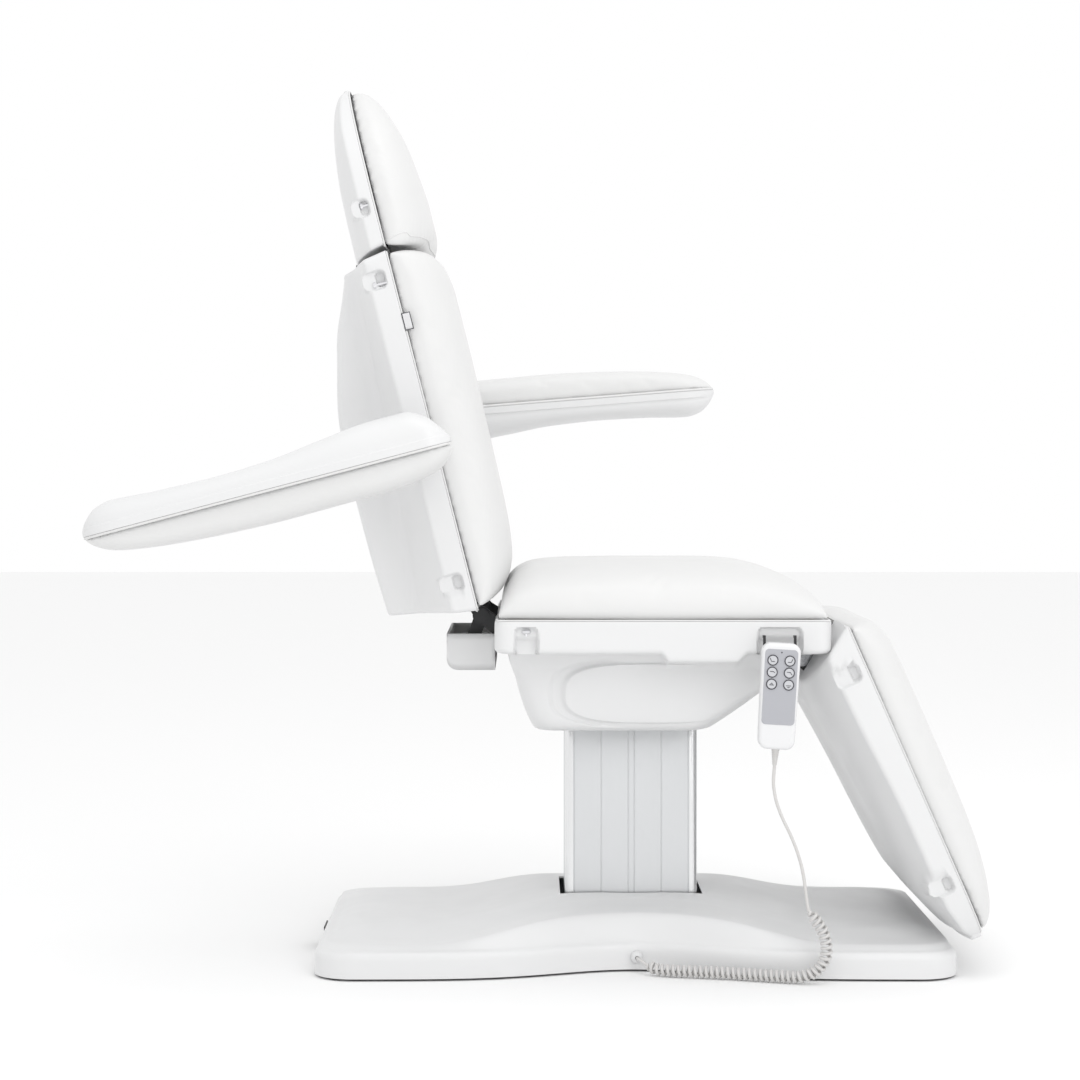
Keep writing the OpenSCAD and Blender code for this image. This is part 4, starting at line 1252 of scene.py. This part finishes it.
def flat_plate(name, outline, z0, z1, edge=.0003):
    """A thin plate on the handset's face, with a softened rim."""
    outline = np.asarray(outline, float)
    centre = outline.mean(axis=0)
    inner = outline + (centre - outline) / np.linalg.norm(centre - outline, axis=1)[:, None] * edge
    rows = [np.column_stack([ring, np.full(len(ring), z)])
            for ring, z in ((outline * 0 + centre, z0), (outline, z0), (outline, z1 - edge),
                            (inner, z1), (outline * 0 + centre, z1))]
    obj = grid_object(name, on_handset(np.array(rows)), ring=True)
    sharp_by_angle(obj, 40)
    return obj


def round_outline(x0, x1, y0, y1, r, n=8):
    pts = []
    for cx, cy, start in ((x1 - r, y1 - r, 0), (x0 + r, y1 - r, 90), (x0 + r, y0 + r, 180),
                          (x1 - r, y0 + r, 270)):
        for k in range(n + 1):
            t = math.radians(start + 90 * k / n)
            pts.append((cx + r * math.cos(t), cy + r * math.sin(t)))
    return pts


def circle(x, y, r, n=40):
    a = 2 * math.pi * np.arange(n) / n
    return np.column_stack([x + r * np.cos(a), y + r * np.sin(a)])


def stroke(points, width, z, lift=.00035):
    """A thin printed line on the handset, standing a hair above its key."""
    p = np.array(points, float)
    way = np.gradient(p, axis=0)
    way /= np.linalg.norm(way, axis=1)[:, None]
    side = np.column_stack([-way[:, 1], way[:, 0]]) * width / 2
    rows = [[(*a, z), (*a, z + lift), (*b, z + lift), (*b, z)]
            for a, b in zip(p + side, p - side)]
    return grid_object("stroke", on_handset(np.array(rows)), ring=True)


KEY_X, KEY_ROWS, KEY_R = .0127, (.0535, .0357, .0179), .008


def key_icon(index, x, y):
    """Each key's generic sign: a reclined or sat-up figure, a raised leg, up or down."""
    row, side = divmod(index - 1, 2)
    a = 1 if side else -1
    if row == 0:
        seat = [(x - .003 * a, y - .002), (x + .002 * a, y - .002)]
        back = [(x + .002 * a, y - .002), (x + .0042 * a, y + .003)]
        return [seat, back]
    if row == 1:
        seat = [(x - .0035, y + .001), (x + .0015, y + .001)]
        leg = [(x + .0015, y + .001), (x + .0042, y - .0005 - .0022 * side)]
        return [seat, leg]
    bar = [(x - .0035, y - .0012), (x + .0035, y - .0012)]
    tip = [(x - .0016, y - .0032 * side - .0002), (x, y + .0018 - .0055 * side),
           (x + .0016, y - .0032 * side - .0002)]
    return [bar, tip]


def handset():
    handset_half("handset_front", 1)
    handset_half("handset_back", -1)
    t = HAND_T / 2
    label = flat_plate("handset_label", round_outline(-.0245, .0245, -.042, .070, .006),
                       t + .0001, t + .0006)
    finish_piece(label, "seat", "grey_film", "handset_label")
    lens = flat_plate("handset_signal_lens", circle(0, .0655, .0011, 20), t + .0006, t + .0012)
    finish_piece(lens, "seat", "black_plastic", look="ink")
    for i in range(1, 7):
        x, y = KEY_X * (-1 if i % 2 else 1), KEY_ROWS[(i - 1) // 2]
        top = t + .0015
        key = flat_plate(f"button_{i}", circle(x, y, KEY_R - .0004), t - .0015, top, .0006)
        finish_piece(key, f"key_{i}", "key_film", f"button_{i}")
        signs = [stroke(np.vstack([circle(x, y, KEY_R - .0006, 40), [(x + KEY_R - .0006, y)]]),
                        .0014, top)]
        signs += [stroke(line, .0009, top) for line in key_icon(i, x, y)]
        sign = join(f"key_sign_{i}", signs)
        finish_piece(sign, f"key_{i}", "black_plastic", look="ink")


handset()


# ---------- Cord fittings ----------

def turned(name, start, end, profile, sides=40):
    """A turned piece from start to end; profile holds (share of the length, radius)."""
    start, end = np.array(start, float), np.array(end, float)
    points = np.array([start + (end - start) * t for t, _ in profile])
    way = (end - start) / np.linalg.norm(end - start)
    side = np.cross(way, [1.0, 0, 0] if abs(way[0]) < .9 else [0, 0, 1.0])
    side /= np.linalg.norm(side)
    up = np.cross(way, side)
    a = 2 * math.pi * np.arange(sides) / sides
    rows = [p + r * (np.cos(a)[:, None] * side + np.sin(a)[:, None] * up)
            for p, (_, r) in zip(points, profile)]
    obj = grid_object(name, rows, ring=True)
    sharp_by_angle(obj, 40)
    return obj


def strain_relief():
    """The ribbed taper between the handset and its cord."""
    profile = [(0, 0), (0, .0040), (.17, .0040), (.175, .0060), (.20, .0062)]
    for k in range(7):
        t = .22 + .10 * k
        r = .0060 - .0030 * (t - .2) / .8
        profile += [(t, r), (t + .062, r - .0003), (t + .068, r - .0011), (t + .094, r - .0013)]
    profile += [(1.0, .0027), (1.0, 0)]
    top = on_handset(np.array([0, -HAND_L / 2 + .006, 0]))
    end = on_handset(np.array([0, -HAND_L / 2 - .028, 0]))
    obj = turned("cord_strain_relief", top, end, profile)
    finish_piece(obj, "seat", "cord_sheath", "cord_strain_relief")


def gland():
    obj = turned("cord_gland", (.003, -.206, .023), (.003, -.235, .023),
                 [(0, .0031), (0, .0070), (.50, .0070), (.52, .0090), (.72, .0092),
                  (.78, .0086), (.82, .0076), (.97, .0052), (1.0, .0046), (1.0, .0031),
                  (0, .0031)])
    finish_piece(obj, "base", "white_plastic", "cord_gland")


strain_relief()
gland()


# ---------- Tag and screws ----------

def tag():
    """A blank woven tag with a dark border, sewn in at the back cushion's seam."""
    u0, u1, w0, w1 = .4345, .4585, .0015, .0120
    for name, grow, out, look in (("back_tag", 0, .0004, "tag_cloth"),
                                  ("back_tag_border", .0013, .0, "ink")):
        rows = []
        for w in np.linspace(w0 - grow, w1 + grow, 8):
            y = -(HALF_W + .0006 + out - .5 * max(w - .004, 0)**2 / .03)
            rows.append([(u, y + off, w) for off in (0.0004, 0)
                         for u in (np.linspace(u0 - grow, u1 + grow, 8) if off == 0
                                   else np.linspace(u1 + grow, u0 - grow, 8))])
        obj = grid_object(name, BACK.world(np.array(rows)), ring=True)
        nodes = ["back_tag"] if look == "tag_cloth" else []
        finish_piece(obj, "back", "tag_cloth", *nodes, look=look)


def seat_screws():
    """Domed screws in the recesses under the seat's edge."""
    parts = [turned("screw", (-.166, s * .2975, .518), (-.166, s * .2975, .5285),
                    [(0, 0), (0, .0022), (.3, .0024), (.35, .0058), (.5, .0074), (.75, .0072),
                     (.93, .0048), (1, 0)]) for s in (-1, 1)]
    obj = join("seat_screws", parts)
    finish_piece(obj, "seat", "chrome", "seat_screws")
    parts = [turned("screw", LEG.world(np.array([u, s * .2885, -.032])),
                    LEG.world(np.array([u, s * .2965, -.032])),
                    [(0, 0), (0, .0046), (.5, .0050), (.85, .0046), (.9, .0036), (.55, .0022),
                     (.55, 0)]) for u in (.072, .418) for s in (-1, 1)]
    obj = join("leg_screws", parts)
    finish_piece(obj, "leg", "chrome", "leg_screws")


tag()
seat_screws()


# ---------- Carried-over nodes ----------

for node, obj in frame["nodes"].items():
    if obj.hide_render:
        continue
    look = "black_steel" if node == "handset_hook" else SLOT_OF[node]
    obj.data.materials.clear()
    obj.data.materials.append(M[look])
    obj.data.shade_smooth()
    sharp_by_angle(obj, 35)


# ---------- Studio ----------

def studio():
    bpy.ops.mesh.primitive_plane_add(size=30, location=(0, 0, -0.0005))
    floor = bpy.context.object
    floor.name = "floor"
    paint = bpy.data.materials.new("studio_floor")
    paint.use_nodes = True
    paint.node_tree.nodes["Principled BSDF"].inputs["Base Color"].default_value = (
        0.93, 0.93, 0.93, 1)
    paint.node_tree.nodes["Principled BSDF"].inputs["Roughness"].default_value = 0.9
    floor.data.materials.append(paint)
    world = bpy.data.worlds.new("studio")
    bpy.context.scene.world = world
    world.use_nodes = True
    sky = world.node_tree.nodes["Background"]
    sky.inputs["Color"].default_value = (1, 1, 1, 1)
    sky.inputs["Strength"].default_value = 1.0
    for name, place, size, power, aim in (
            ("key", (1.7, -4.0, 2.4), 2.5, 36, (0, 0, 0.6)),
            ("top", (0.2, -1.2, 4.0), 2.5, 22, (0, 0, 0.5))):
        light = bpy.data.lights.new(name, "AREA")
        light.size = size
        light.energy = power
        lamp = bpy.data.objects.new(name, light)
        lamp.location = place
        way = Vector(aim) - Vector(place)
        lamp.rotation_euler = way.to_track_quat("-Z", "Y").to_euler()
        bpy.context.scene.collection.objects.link(lamp)
    bpy.context.scene.view_settings.view_transform = "Standard"


studio()
